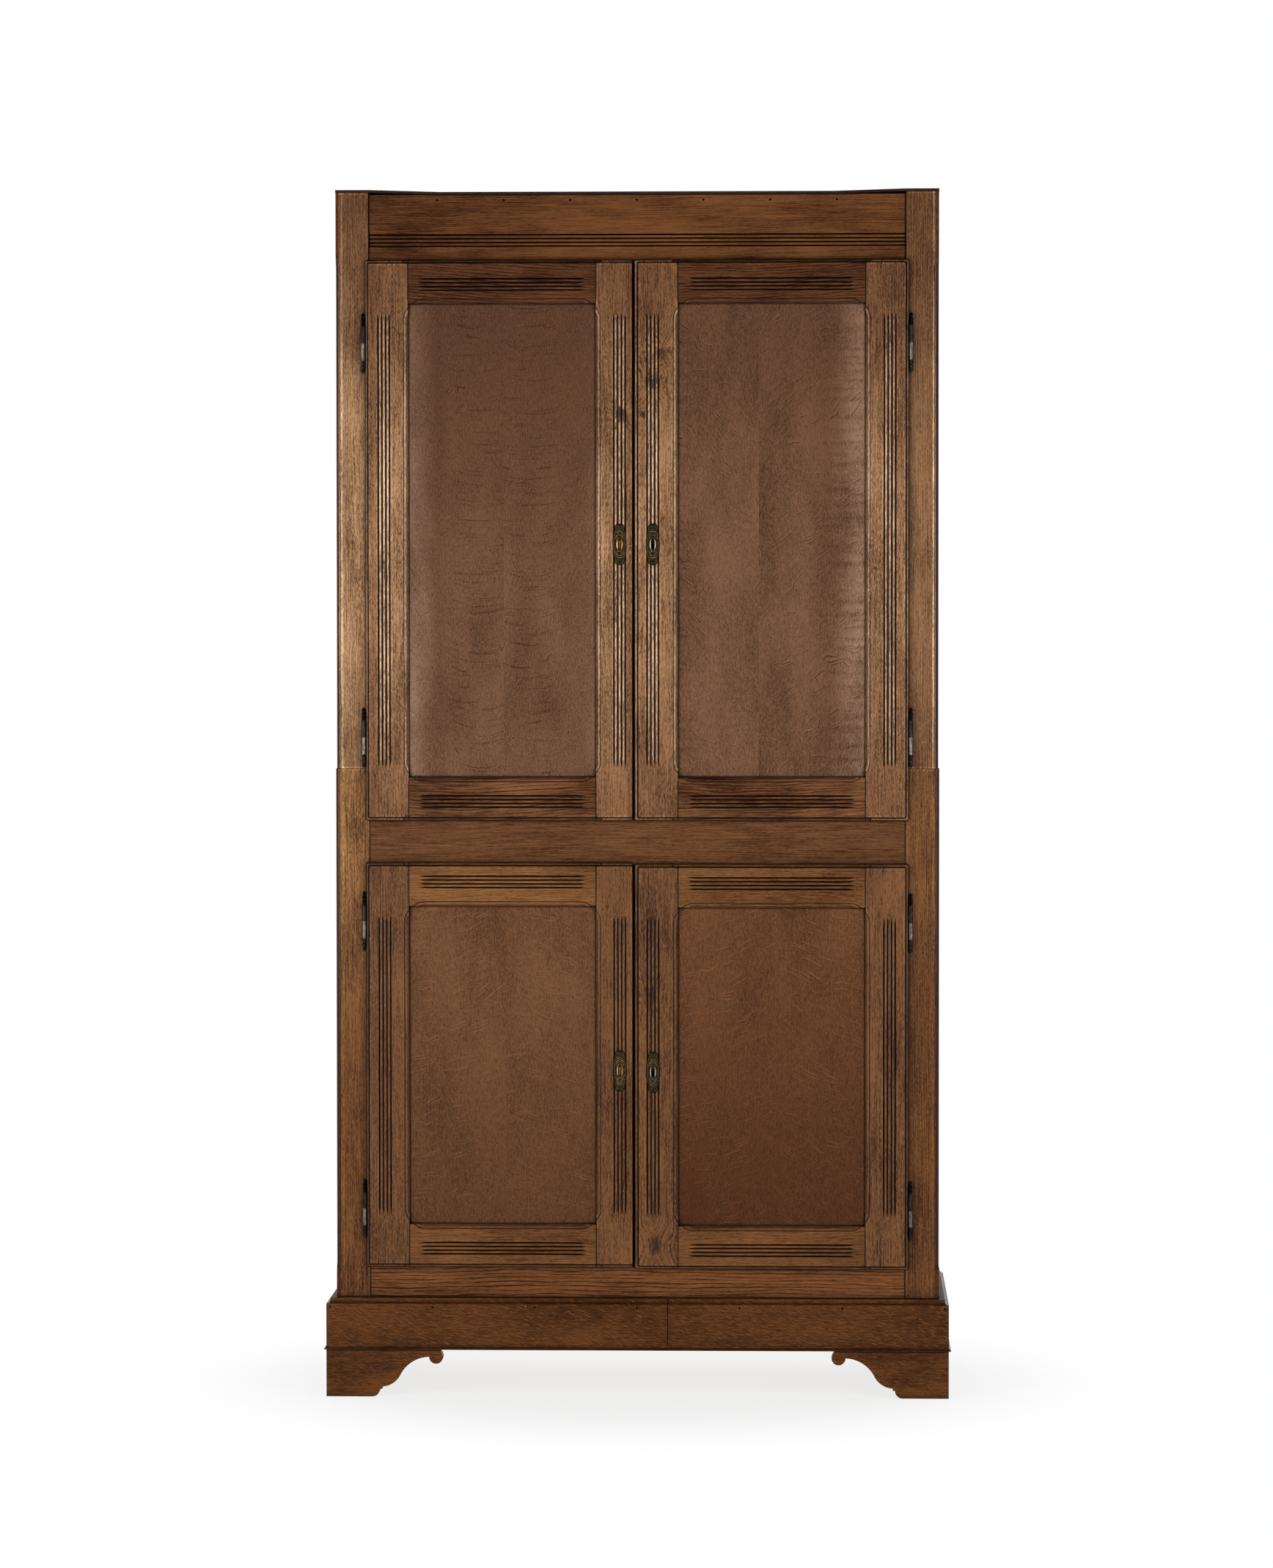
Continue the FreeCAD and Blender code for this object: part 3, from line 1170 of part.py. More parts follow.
def nail_row(name, count, half_span, front, height):
    """A level row of nails driven in from the front, half_span to either side of the middle."""
    pitch = half_span * 2 / (count - 1)
    return [rod(f"{name}_{number + 1}", d.nail_radius,
                (pitch * number - half_span, front, height), d.nail_length, Vector(0, 1, 0))
            for number in range(count)]


def build_nails():
    """The frieze's and the plinth's rows of nails, with their holes in what they hold."""
    frieze = nail_row("frieze_nail", FRIEZE_NAILS, OPENING_HALF - d.frieze_nail_inset,
                      FRIEZE_FRONT, Z_FRIEZE - d.frieze_nail_drop)
    plinth = nail_row("plinth_nail", PLINTH_NAILS,
                      HALF_CASE + d.plinth_projection - d.plinth_nail_inset,
                      FRONT - d.plinth_projection, Z_CASE - d.plinth_nail_drop)
    cuts["frieze_nails"] += frieze
    cuts["frieze_board"] += frieze
    cuts["bottom_rail"] += plinth
    cuts["plinth_nails"] += plinth
    node("nails", group("nails", frieze + plinth))


def build_plinth():
    """The plinth boards, the front one in two lengths, and the bead under them."""
    nails = cuts["plinth_nails"]
    front, sides = mitred_set("plinth", plinth_section, d.plinth_projection, as_size(0),
                              d.plinth_joint_gap)
    node("plinth_front_boards", group("plinth_front_boards", [
        cut(f"plinth_front_board_{number}", board, nails)
        for number, board in enumerate(front, start=1)]))
    node("plinth_side_boards", group("plinth_side_boards", [
        cut(f"plinth_side_board_{number}", board, nails)
        for number, board in enumerate(sides, start=1)]))
    front, sides = mitred_set("bead", bead_section,
                              d.plinth_projection + d.bead_projection, d.bead_inner, None)
    node("plinth_bead", group("plinth_bead", front + sides))


def check_and_export():
    """Stop at any failed object, then write every sub-part to its own file."""
    doc.recompute()
    for item in doc.Objects:
        if {"Invalid", "Error"} & set(item.State):
            raise RuntimeError(f"{item.Label} failed: {item.State}")
    os.makedirs("parts", exist_ok=True)
    for piece in nodes:
        if piece.Shape.isNull() or not piece.Shape.isValid():
            raise RuntimeError(f"{piece.Label} has no valid shape")
        piece.Shape.exportStep(f"parts/{piece.Label}.step")
        bounds = piece.Shape.BoundBox
        print(f"{piece.Label}: {len(piece.Shape.Solids)} solids, "
              f"{bounds.XLength:.1f} x {bounds.YLength:.1f} x {bounds.ZLength:.1f}")


build_nails()
build_hinges()
for level in ("upper", "lower"):
    build_lock(level)
    build_slide_bolts(level)
    for side in (LEFT, RIGHT):
        build_escutcheon(level, side)
        build_door_frame(level, side)
build_front_rails()
build_frames()
build_floors()
build_posts()
build_cover_board()
build_plinth()
build_feet()
check_and_export()
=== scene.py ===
"""Finishes, fine pieces, lamps and camera for the linen press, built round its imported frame.

Lengths are metres in the part's own frame: X to the right, Y to the back, Z up, with the
feet on Z = 0 and the fronts of the doors looking towards -Y.
"""

from __future__ import annotations

import logging
import math
import random
from collections.abc import Callable, Iterable, Sequence
from dataclasses import dataclass, field, replace
from enum import Enum
from typing import Any, Union

import bmesh
import bpy
from mathutils import Euler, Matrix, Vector


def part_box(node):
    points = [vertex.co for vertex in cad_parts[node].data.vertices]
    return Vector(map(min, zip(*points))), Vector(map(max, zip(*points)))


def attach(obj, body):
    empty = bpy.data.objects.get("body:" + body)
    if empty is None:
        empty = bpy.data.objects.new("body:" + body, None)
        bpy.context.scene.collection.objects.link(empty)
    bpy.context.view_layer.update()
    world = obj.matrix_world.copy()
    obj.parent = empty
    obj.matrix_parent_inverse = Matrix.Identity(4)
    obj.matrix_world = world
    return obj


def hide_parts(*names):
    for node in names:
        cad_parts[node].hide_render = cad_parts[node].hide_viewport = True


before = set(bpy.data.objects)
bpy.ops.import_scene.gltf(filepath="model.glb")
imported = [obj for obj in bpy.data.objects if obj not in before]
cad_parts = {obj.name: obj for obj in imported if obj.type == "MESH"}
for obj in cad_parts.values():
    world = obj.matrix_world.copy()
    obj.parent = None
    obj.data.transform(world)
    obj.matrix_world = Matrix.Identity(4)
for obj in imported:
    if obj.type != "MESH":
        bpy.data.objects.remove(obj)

LOG = logging.getLogger("linen_press")
Feed = Union[bpy.types.NodeSocket, float, Sequence[float], Vector]


def linear(colour: str) -> tuple[float, float, float, float]:
    """Turn a six-digit screen colour into the linear one that a shader takes.

    Args:
        colour: Six hexadecimal digits, red first.

    Returns:
        Red, green, blue and full opacity.
    """
    parts = []
    for place in (0, 2, 4):
        level = int(colour[place:place + 2], 16) / 255
        parts.append(level / 12.92 if level <= 0.04045 else ((level + 0.055) / 1.055) ** 2.4)
    return parts[0], parts[1], parts[2], 1.0


class Graph:
    """A pen that draws the nodes of one material."""

    def __init__(self, name: str) -> None:
        """Start an empty material.

        Args:
            name: The material's name.
        """
        self.material = bpy.data.materials.new(name)
        self.material.use_nodes = True
        self.tree = self.material.node_tree
        self.tree.nodes.clear()

    def add(self, kind: str, **settings: Any) -> bpy.types.Node:
        """Add a node.

        Args:
            kind: Its type.
            settings: Values for its own properties.

        Returns:
            The new node.
        """
        node = self.tree.nodes.new(kind)
        for key, value in settings.items():
            setattr(node, key, value)
        return node

    def feed(self, socket: bpy.types.NodeSocket, value: Feed) -> None:
        """Link a socket to another one, or set its number.

        Args:
            socket: The socket that takes it.
            value: A socket, a number or a row of numbers.
        """
        if isinstance(value, bpy.types.NodeSocket):
            self.tree.links.new(value, socket)
        else:
            socket.default_value = value

    def math(self, operation: str, *values: Feed, clamp: bool = False) -> bpy.types.NodeSocket:
        """Work out one number from others.

        Args:
            operation: The math node's operation.
            values: What goes in.
            clamp: Hold the answer between 0 and 1.

        Returns:
            The answer.
        """
        node = self.add("ShaderNodeMath", operation=operation, use_clamp=clamp)
        for place, value in enumerate(values):
            self.feed(node.inputs[place], value)
        return node.outputs[0]

    def plus(self, *values: Feed) -> bpy.types.NodeSocket:
        """Add numbers up.

        Args:
            values: The numbers.

        Returns:
            Their sum.
        """
        total = values[0]
        for value in values[1:]:
            total = self.math("ADD", total, value)
        return total

    def times(self, *values: Feed) -> bpy.types.NodeSocket:
        """Multiply numbers.

        Args:
            values: The numbers.

        Returns:
            Their product.
        """
        product = values[0]
        for value in values[1:]:
            product = self.math("MULTIPLY", product, value)
        return product

    def less(self, value: Feed, taken: Feed) -> bpy.types.NodeSocket:
        """Take one number from another."""
        return self.math("SUBTRACT", value, taken)

    def most(self, first: Feed, second: Feed) -> bpy.types.NodeSocket:
        """The larger of two numbers."""
        return self.math("MAXIMUM", first, second)

    def gap(self, first: Feed, second: Feed) -> bpy.types.NodeSocket:
        """How far two numbers lie apart."""
        return self.math("ABSOLUTE", self.less(first, second))

    def reach(self, first: Feed, second: Feed) -> bpy.types.NodeSocket:
        """The length of the slanted side over two square ones."""
        return self.math("SQRT", self.plus(self.times(first, first),
                                           self.times(second, second)))

    def place(self) -> bpy.types.NodeSocket:
        """The surface point in the piece's own frame."""
        return self.add("ShaderNodeTexCoord").outputs["Object"]

    def split(self, vector: Feed) -> list[bpy.types.NodeSocket]:
        """Take a vector apart.

        Args:
            vector: The vector.

        Returns:
            Its three numbers.
        """
        node = self.add("ShaderNodeSeparateXYZ")
        self.feed(node.inputs[0], vector)
        return list(node.outputs)

    def join(self, *values: Feed) -> bpy.types.NodeSocket:
        """Put a vector together.

        Args:
            values: Its three numbers.

        Returns:
            The vector.
        """
        node = self.add("ShaderNodeCombineXYZ")
        for place, value in enumerate(values):
            self.feed(node.inputs[place], value)
        return node.outputs[0]

    def stretch(self, vector: Feed, scale: Sequence[float]) -> bpy.types.NodeSocket:
        """Multiply a vector by three numbers.

        Args:
            vector: The vector.
            scale: The three numbers.

        Returns:
            The stretched vector.
        """
        node = self.add("ShaderNodeVectorMath", operation="MULTIPLY")
        self.feed(node.inputs[0], vector)
        node.inputs[1].default_value = scale
        return node.outputs[0]

    def noise(self, vector: Feed, scale: Sequence[float], detail: float = 2.0,
              rough: float = 0.5) -> bpy.types.NodeSocket:
        """Soft noise around one half.

        Args:
            vector: The place to read it at.
            scale: Cells a metre on each axis.
            detail: How many finer layers it has.
            rough: How strong the finer layers are.

        Returns:
            The noise.
        """
        node = self.add("ShaderNodeTexNoise")
        self.feed(node.inputs["Vector"], self.stretch(vector, scale))
        node.inputs["Scale"].default_value = 1.0
        node.inputs["Detail"].default_value = detail
        node.inputs["Roughness"].default_value = rough
        return node.outputs[0]

    def drift(self, vector: Feed, scale: Sequence[float], detail: float = 2.0,
              rough: float = 0.5) -> bpy.types.NodeSocket:
        """Soft noise around zero, with the same settings."""
        return self.less(self.noise(vector, scale, detail, rough), 0.5)

    def chance(self, value: Feed) -> bpy.types.NodeSocket:
        """A random number for each value.

        Args:
            value: The value.

        Returns:
            A number from 0 to 1.
        """
        node = self.add("ShaderNodeTexWhiteNoise", noise_dimensions="1D")
        self.feed(node.inputs["W"], value)
        return node.outputs["Value"]

    def span(self, value: Feed, low: float, high: float, first: float = 0.0,
             last: float = 1.0, soft: bool = True) -> bpy.types.NodeSocket:
        """Carry a range of values to another one and hold it there beyond both ends.

        Args:
            value: The value.
            low: Where the range starts; it may lie above the end.
            high: Where it ends.
            first: What the start becomes.
            last: What the end becomes.
            soft: Ease in and out.

        Returns:
            The value in its new range.
        """
        node = self.add("ShaderNodeMapRange",
                        interpolation_type="SMOOTHSTEP" if soft else "LINEAR", clamp=True)
        for place, number in enumerate((value, low, high, first, last)):
            self.feed(node.inputs[place], number)
        return node.outputs[0]

    def swing(self, value: Feed) -> bpy.types.NodeSocket:
        """Carry soft noise to the range from -1 to 1."""
        return self.span(value, 0.30, 0.70, -1.0, 1.0, soft=False)

    def mix(self, factor: Feed, first: Feed, second: Feed,
            blend: str = "MIX") -> bpy.types.NodeSocket:
        """Mix two colours.

        Args:
            factor: How much of the second goes in.
            first: The colour below.
            second: The colour above.
            blend: How they meet.

        Returns:
            The mixed colour.
        """
        node = self.add("ShaderNodeMix", data_type="RGBA", blend_type=blend, clamp_factor=True)
        for place, value in ((0, factor), (6, first), (7, second)):
            self.feed(node.inputs[place], value)
        return node.outputs[2]

    def ramp(self, value: Feed,
             stops: Sequence[tuple[float, Sequence[float]]]) -> bpy.types.NodeSocket:
        """Turn a number into a colour.

        Args:
            value: The number.
            stops: Positions from 0 to 1 with their colours.

        Returns:
            The colour.
        """
        node = self.add("ShaderNodeValToRGB")
        self.feed(node.inputs[0], value)
        elements = node.color_ramp.elements
        while len(elements) < len(stops):
            elements.new(0.5)
        for element, (position, colour) in zip(elements, stops):
            element.position = position
            element.color = colour
        return node.outputs[0]

    def corner_shade(self, reach: float, inside: bool = False,
                     samples: int = 6) -> bpy.types.NodeSocket:
        """How far a point lies in a corner, or how near it is to an edge.

        Args:
            reach: How far away the walls count.
            inside: Look into the piece, which finds edges.
            samples: How finely it looks.

        Returns:
            0 in the open and up to 1 in a corner or on an edge.
        """
        node = self.add("ShaderNodeAmbientOcclusion", inside=inside, only_local=inside,
                        samples=samples)
        node.inputs["Distance"].default_value = reach
        return self.less(1.0, node.outputs["AO"])

    def slope(self) -> tuple[bpy.types.NodeSocket, ...]:
        """How steep a moulding stands.

        Returns:
            Masks of its flanks, of all that isn't flat, and of its crests.
        """
        parts = self.split(self.add("ShaderNodeTexCoord").outputs["Normal"])
        largest: Feed = 0.0
        for part in parts:
            largest = self.most(largest, self.math("ABSOLUTE", part))
        return (self.span(largest, 0.95, 0.82), self.span(largest, 0.999, 0.98),
                self.span(largest, 0.925, 0.97))

    def cells(self, vector: Feed, share: float, radius: float) -> bpy.types.NodeSocket:
        """Round spots in part of the cells of a stretched plane.

        Args:
            vector: The place on the plane, one cell to each whole number.
            share: The part of the cells with a spot.
            radius: A spot's mean radius in cells.

        Returns:
            1 inside each spot and 0 outside.
        """
        node = self.add("ShaderNodeTexVoronoi", feature="F1", voronoi_dimensions="2D")
        self.feed(node.inputs["Vector"], vector)
        node.inputs["Scale"].default_value = 1.0
        pick = self.split(node.outputs["Color"])
        size = self.plus(radius * 0.6, self.times(pick[1], radius * 0.8))
        spot = self.span(self.less(node.outputs["Distance"], size), 0.0, -0.10)
        return self.times(spot, self.math("LESS_THAN", pick[0], share))

    def bump(self, height: Feed, depth: float, strength: float = 1.0) -> bpy.types.NodeSocket:
        """Let the surface's normal follow a height.

        Args:
            height: The height, in steps of the depth.
            depth: One step in metres.
            strength: How much of it shows.

        Returns:
            The normal.
        """
        node = self.add("ShaderNodeBump")
        node.inputs["Strength"].default_value = strength
        node.inputs["Distance"].default_value = depth
        self.feed(node.inputs["Height"], height)
        return node.outputs[0]

    def surface(self, colour: Feed, roughness: Feed, normal: Feed, metal: float = 0.0,
                gloss: float = 0.5) -> bpy.types.Material:
        """Close the graph with one shader.

        Args:
            colour: The base colour.
            roughness: The roughness.
            normal: The normal.
            metal: 1 for bare metal.
            gloss: The specular level.

        Returns:
            The finished material.
        """
        shader = self.add("ShaderNodeBsdfPrincipled")
        self.feed(shader.inputs["Base Color"], colour)
        self.feed(shader.inputs["Roughness"], roughness)
        self.feed(shader.inputs["Normal"], normal)
        shader.inputs["Metallic"].default_value = metal
        shader.inputs["Specular IOR Level"].default_value = gloss
        output = self.add("ShaderNodeOutputMaterial")
        self.tree.links.new(shader.outputs[0], output.inputs[0])
        return self.material


class Lay(Enum):
    """Which way a board lies: its across, normal and along axes, in that order."""

    UPRIGHT_FRONT = "xyz"
    LEVEL_FRONT = "zyx"
    UPRIGHT_SIDE = "yxz"
    LEVEL_SIDE = "zxy"
    LEVEL_TOP = "yzx"


class Figure(Enum):
    """How the log was cut, which sets the pattern on the board's face."""

    STRAIGHT = "straight"
    CATHEDRAL = "cathedral"


@dataclass(frozen=True)
class Knot:
    """A knot in a board: its middle in X and Z and its half sizes."""

    x: float
    z: float
    across: float = 0.006
    along: float = 0.009
    dark: float = 0.7


@dataclass(frozen=True)
class PaintedLight:
    """A band of painted light round one height, or round one X if it isn't level.

    Where its strength is above zero it paints a pale highlight, and below zero it paints shade.
    """

    middle: float
    reach: float
    strength: float
    level: bool = True


@dataclass(frozen=True)
class Seam:
    """A tight upright joint line in a face, at one X and between two heights."""

    x: float
    low: float = -9.0
    high: float = 9.0


@dataclass(frozen=True)
class CrestHighlight:
    """A depth band whose moulding crests get a painted highlight: its nearest and farthest Y."""

    near: float
    far: float
    strength: float = 1.0


BOOK_SHIFT = 0.35
BOARD_JUMP = 2.7
SEED_STEP = 0.37
MEAN_STOP = 0.58
DARK_WARMTH = (1.0, 1.3, 1.7)
# Worn arrises rubbed pale, which on the reed crests also paints a highlight.
EDGE_WEAR_AND_SHEEN = (2.3, 2.4, 2.7, 1.0)
# Painted highlight on the reed crests.
CREST_HIGHLIGHT = (1.6, 2.0, 2.7, 1.0)
# Tint of the painted glow, multiplied into the pale bands.
PAINTED_GLOW_TINT = (2.6, 3.6, 5.0, 1.0)
# Tint of the painted shade, multiplied into the dark bands.
PAINTED_SHADE_TINT = "a8824e"
# Painted shade on the steep flanks of mouldings.
PAINTED_FLANK_SHADE = "1a0f08"
# A dark line painted along the arrises.
ARRIS_DARK_LINE = "120a06"
JOINT_LINE = "0a0503"
# Painted shade and grime in corners and recesses.
CORNER_GRIME_AND_SHADE = "080402"
PAINT_SPECK = "c9b48f"
# Painted shade and grime in the metal's corners.
METAL_GRIME_AND_SHADE = "0b0705"
# Painted shade and grime round the plate's rim and keyhole.
PLATE_SHADE_AND_GRIME = "080604"
EDGE_REACH = 0.0045
ARRIS_REACH = 0.0024
CORNER_REACH = 0.0044
RECESS_REACH = 0.022


@dataclass(frozen=True)
class OakTone:
    """A waxed oak's mean colour, and how far its fibre, late wood and pores lie from it."""

    mean: str
    pale: float = 1.60
    deep: float = 0.58
    pore: float = 0.20

    def stops(self) -> list[tuple[float, tuple[float, ...]]]:
        """The colour stops, of which the dark ones are warmer.

        Returns:
            Positions and colours, from the open pore to the bright fibre.
        """
        base = linear(self.mean)
        return [(place, tuple(part * (gain ** bend if gain < 1 else gain)
                              for part, bend in zip(base, DARK_WARMTH)) + (1.0,))
                for place, gain in ((0.0, self.pore), (0.28, self.deep), (MEAN_STOP, 1.0),
                                    (0.95, self.pale))]


GOLDEN = OakTone("684225")
BROWN = OakTone("664122")
HONEY = OakTone("674225")
AMBER = OakTone("653d1a")
RUSSET = OakTone("6b4528")
CHESTNUT = OakTone("754d2a")
PLUM = OakTone("6b4a35", 1.50, 0.66, 0.36)
TAWNY = OakTone("664329", 1.50, 0.66, 0.36)
RUST = OakTone("623d22", 1.50, 0.66, 0.36)
UMBER = OakTone("663e20", 1.50, 0.58, 0.22)
COCOA = OakTone("674226", 1.50, 0.58, 0.22)
SIENNA = OakTone("6f4423", 1.50, 0.55, 0.18)
SMOKED = OakTone("4c2b10", 2.10, 0.60, 0.30)
SOOTY = OakTone("35251a")
BARE = OakTone("8b6e4e")


@dataclass(frozen=True)
class OakFinish:
    """Old waxed oak: growth rings, pores, ray flecks, grime and painted shade in the corners, worn
    edges, painted highlights and bands of painted light and shade.

    Pitches, lengths and sizes are metres, and so are all widths but a ring's, which is a share
    of its pitch. A rate is in cells a metre, a radius in cells and a tilt in radians. A depth
    is how far a pattern moves the colour along the tone's stops.
    """

    lay: Lay
    tone: OakTone
    figure: Figure = Figure.STRAIGHT
    ring_pitch: float = 0.0045
    ring_depth: float = 0.16
    ring_width: float = 0.55
    ring_bend: float = 0.010
    cone: float = 0.05
    heart: float = 0.0
    heart_along: float = 0.0
    streak_depth: float = 0.28
    streak_width: float = 0.0018
    streak_length: float = 0.030
    speckle_depth: float = 0.16
    speckle_rate: float = 110.0
    pore_depth: float = 0.30
    pore_length: float = 0.010
    pore_share: float = 0.58
    fleck_depth: float = 0.0
    fleck_tilt: float = 0.5
    fleck_sway: float = 0.12
    fleck_size: tuple[float, float] = (0.0045, 0.034)
    fleck_flow: float = 0.0
    fleck_share: float = 0.45
    fleck_radius: float = 0.22
    fleck_patch: float = 0.34
    fleck_pair: tuple[float, float] = (1.0, 1.2)
    curl_depth: float = 0.0
    curl_zone: tuple[float, float] = (0.13, 0.17)
    smile_depth: float = 0.0
    smile_bend: float = -3.2
    tone_depth: float = 0.18
    lift: float = 0.0
    dusk: float = 0.36
    wear: float = 1.0
    outline: float = 0.85
    flank_shade: float = 0.45
    roughness: float = 0.44
    gloss: float = 0.40
    board_width: float = 0.0
    book_joint: float | None = None
    speck_share: float = 0.0
    painted_light: tuple[PaintedLight, ...] = ()
    knots: tuple[Knot, ...] = ()
    seams: tuple[Seam, ...] = ()
    glint_depth: float = 0.0
    crest_highlights: tuple[CrestHighlight, ...] = ()

    def build(self, name: str, seed: int) -> bpy.types.Material:
        """Draw the whole finish.

        Args:
            name: The material's name.
            seed: Sets where in the log this board was cut.

        Returns:
            The finished material.
        """
        pen = Graph(name)
        axes = pen.split(pen.place())
        across, normal, along = (axes["xyz".index(letter)] for letter in self.lay.value)
        x, z = axes[0], axes[2]
        spot, ring_place = self._board_place(pen, across, normal, along, seed)
        knot_mask, push = self._knots(pen, x, z)
        slow = pen.drift(spot, (3.0, 3.0, 1.3), 1.0)
        quick = pen.drift(spot, (30.0, 30.0, 7.0), 1.0)
        bent = pen.plus(pen.split(spot)[0], pen.times(slow, self.ring_bend * 2),
                        pen.times(quick, self.ring_bend * 0.3), push)
        _, deep_axis, long_axis = pen.split(spot)
        grain = pen.join(bent, deep_axis, long_axis)
        early = self._rings(pen, bent, ring_place, grain)
        fine = 1 / self.streak_width
        streak = pen.swing(pen.noise(grain, (fine, fine, 1 / self.streak_length), 2.0, 0.6))
        speckle = pen.swing(pen.noise(grain, (560.0, 560.0, self.speckle_rate), 2.0, 0.7))
        dash = pen.span(pen.noise(grain, (760.0, 760.0, 1 / self.pore_length), 1.0, 0.5),
                        self.pore_share, self.pore_share + 0.08)
        dash = pen.times(dash, pen.plus(0.45, pen.times(early, 0.55)))
        cloud = pen.swing(pen.noise(spot, (11.0, 11.0, 4.0), 3.0, 0.6))
        value = pen.plus(MEAN_STOP + self.lift,
                         pen.times(early, -self.ring_depth),
                         pen.times(streak, self.streak_depth),
                         pen.times(speckle, self.speckle_depth),
                         pen.times(dash, -self.pore_depth),
                         pen.times(cloud, self.tone_depth))
        relief: Feed = 0.0
        if self.fleck_depth:
            light, relief = self._flecks(pen, spot, ring_place[0])
            value = pen.plus(value, light)
        if self.curl_depth:
            value = pen.plus(value, self._curl(pen, spot, ring_place[0]))
        if self.smile_depth:
            value = pen.plus(value, self._smiles(pen, spot, ring_place[0]))
        if self.glint_depth:
            glint = pen.span(pen.noise(grain, (620.0, 620.0, 120.0), 1.0, 0.5), 0.60, 0.70)
            value = pen.plus(value, pen.times(glint, self.glint_depth))
        value = pen.less(value, knot_mask)
        colour = self._paint_light(pen, pen.ramp(value, self.tone.stops()), x, z, cloud)
        slopes = pen.slope()
        colour, shade = self._age(pen, colour, spot, axes, slopes)
        roughness = pen.plus(self.roughness, pen.times(streak, -0.05), pen.times(dash, 0.2),
                             pen.times(shade, 0.25), pen.times(slopes[1], -0.20))
        dents = pen.noise(spot, (55.0, 55.0, 14.0), 2.0, 0.5)
        height = pen.plus(pen.times(dents, 1.2), pen.times(dash, -0.35), pen.times(early, -0.15),
                          pen.times(streak, 0.22), pen.times(speckle, 0.16),
                          pen.times(relief, 0.5))
        return pen.surface(colour, roughness, pen.bump(height, 0.0006, 0.6), gloss=self.gloss)

    def _board_place(self, pen: Graph, across: Feed, normal: Feed, along: Feed,
                     seed: int) -> tuple[bpy.types.NodeSocket, tuple[Feed, Feed, Feed]]:
        """Shift the board's own axes to its place in the log.

        Args:
            pen: The graph to draw in.
            across: The axis across the grain.
            normal: The axis through the board.
            along: The axis along the grain.
            seed: Sets the shift.

        Returns:
            The shifted place, and the plain axes for a pattern that has a set middle.
        """
        dice = random.Random(seed)
        shift = [dice.uniform(0.5, 3.0) for _ in range(3)]
        level = along
        if self.book_joint is not None:
            away = pen.less(across, self.book_joint)
            level = pen.plus(along, pen.times(pen.math("SIGN", away), BOOK_SHIFT))
            across = pen.math("ABSOLUTE", away)
        spot = pen.join(*(pen.plus(axis, step)
                          for axis, step in zip((across, normal, level), shift)))
        if self.board_width:
            cell = pen.math("FLOOR", pen.math("DIVIDE", across, self.board_width))
            jump = pen.times(pen.chance(pen.plus(cell, seed * SEED_STEP)), BOARD_JUMP)
            node = pen.add("ShaderNodeVectorMath", operation="ADD")
            pen.feed(node.inputs[0], spot)
            pen.feed(node.inputs[1], pen.join(0.0, jump, jump))
            spot = node.outputs[0]
        return spot, (across, normal, along)

    def _rings(self, pen: Graph, bent: Feed, plain: tuple[Feed, Feed, Feed],
               grain: Feed) -> bpy.types.NodeSocket:
        """The open early wood of each growth ring.

        Args:
            pen: The graph to draw in.
            bent: The wandering place across the board.
            plain: The board's own axes.
            grain: The place in the log that follows the grain.

        Returns:
            Up to 1 on a ring and 0 between.
        """
        _, normal, along = plain
        if self.figure is Figure.CATHEDRAL:
            side = pen.less(bent, self.heart)
            height = pen.times(pen.less(along, self.heart_along), self.cone)
            depth = pen.plus(normal, height, 0.05)
            reach = pen.reach(side, depth)
        else:
            reach = pen.plus(bent, pen.times(normal, 0.6))
        wander = pen.times(pen.drift(grain, (70.0, 70.0, 12.0)), 0.9)
        phase = pen.plus(pen.math("DIVIDE", reach, self.ring_pitch), wander)
        part = pen.math("FRACT", phase)
        strength = pen.plus(0.35, pen.times(pen.chance(pen.math("FLOOR", phase)), 0.65))
        line = pen.times(pen.span(part, self.ring_width, 0.0), pen.span(part, 0.0, 0.06))
        return pen.times(line, strength)

    def _flecks(self, pen: Graph, spot: Feed, across: Feed) -> tuple[Feed, Feed]:
        """Short curved rays, slanted to the grain or fanned out from the book joint.

        Args:
            pen: The graph to draw in.
            spot: The place in the log.
            across: The distance across the board, from the book joint where there is one.

        Returns:
            How much lighter each point is, and its height.
        """
        u, _, w = pen.split(spot)
        sway = pen.times(pen.drift(spot, (9.0, 9.0, 9.0)), self.fleck_sway)
        if self.fleck_flow:
            rise = pen.times(pen.math("POWER", across, 0.65), -self.fleck_flow)
            short, long = pen.plus(w, rise, sway), pen.plus(u, pen.times(w, 0.4))
        else:
            turn = self.fleck_tilt
            short = pen.plus(pen.times(u, -math.sin(turn)), pen.times(w, math.cos(turn)), sway)
            long = pen.plus(pen.times(u, math.cos(turn)), pen.times(w, math.sin(turn)))
        thin, tall = self.fleck_size
        # Each ray is drawn twice: a lit copy, and a painted shadow copy set a little aside.
        lit, shadow = (pen.cells(pen.join(pen.times(pen.plus(short, step), 1 / thin),
                                          pen.times(long, 1 / tall), 0.0),
                                 self.fleck_share, self.fleck_radius)
                       for step in (0.0, 0.0011))
        patch = pen.span(pen.noise(spot, (17.0, 17.0, 11.0), 1.0), self.fleck_patch,
                         self.fleck_patch + 0.16)
        bright, dark = self.fleck_pair
        light = pen.times(pen.less(pen.times(lit, bright), pen.times(shadow, dark)), patch,
                          self.fleck_depth)
        return light, pen.times(lit, patch)

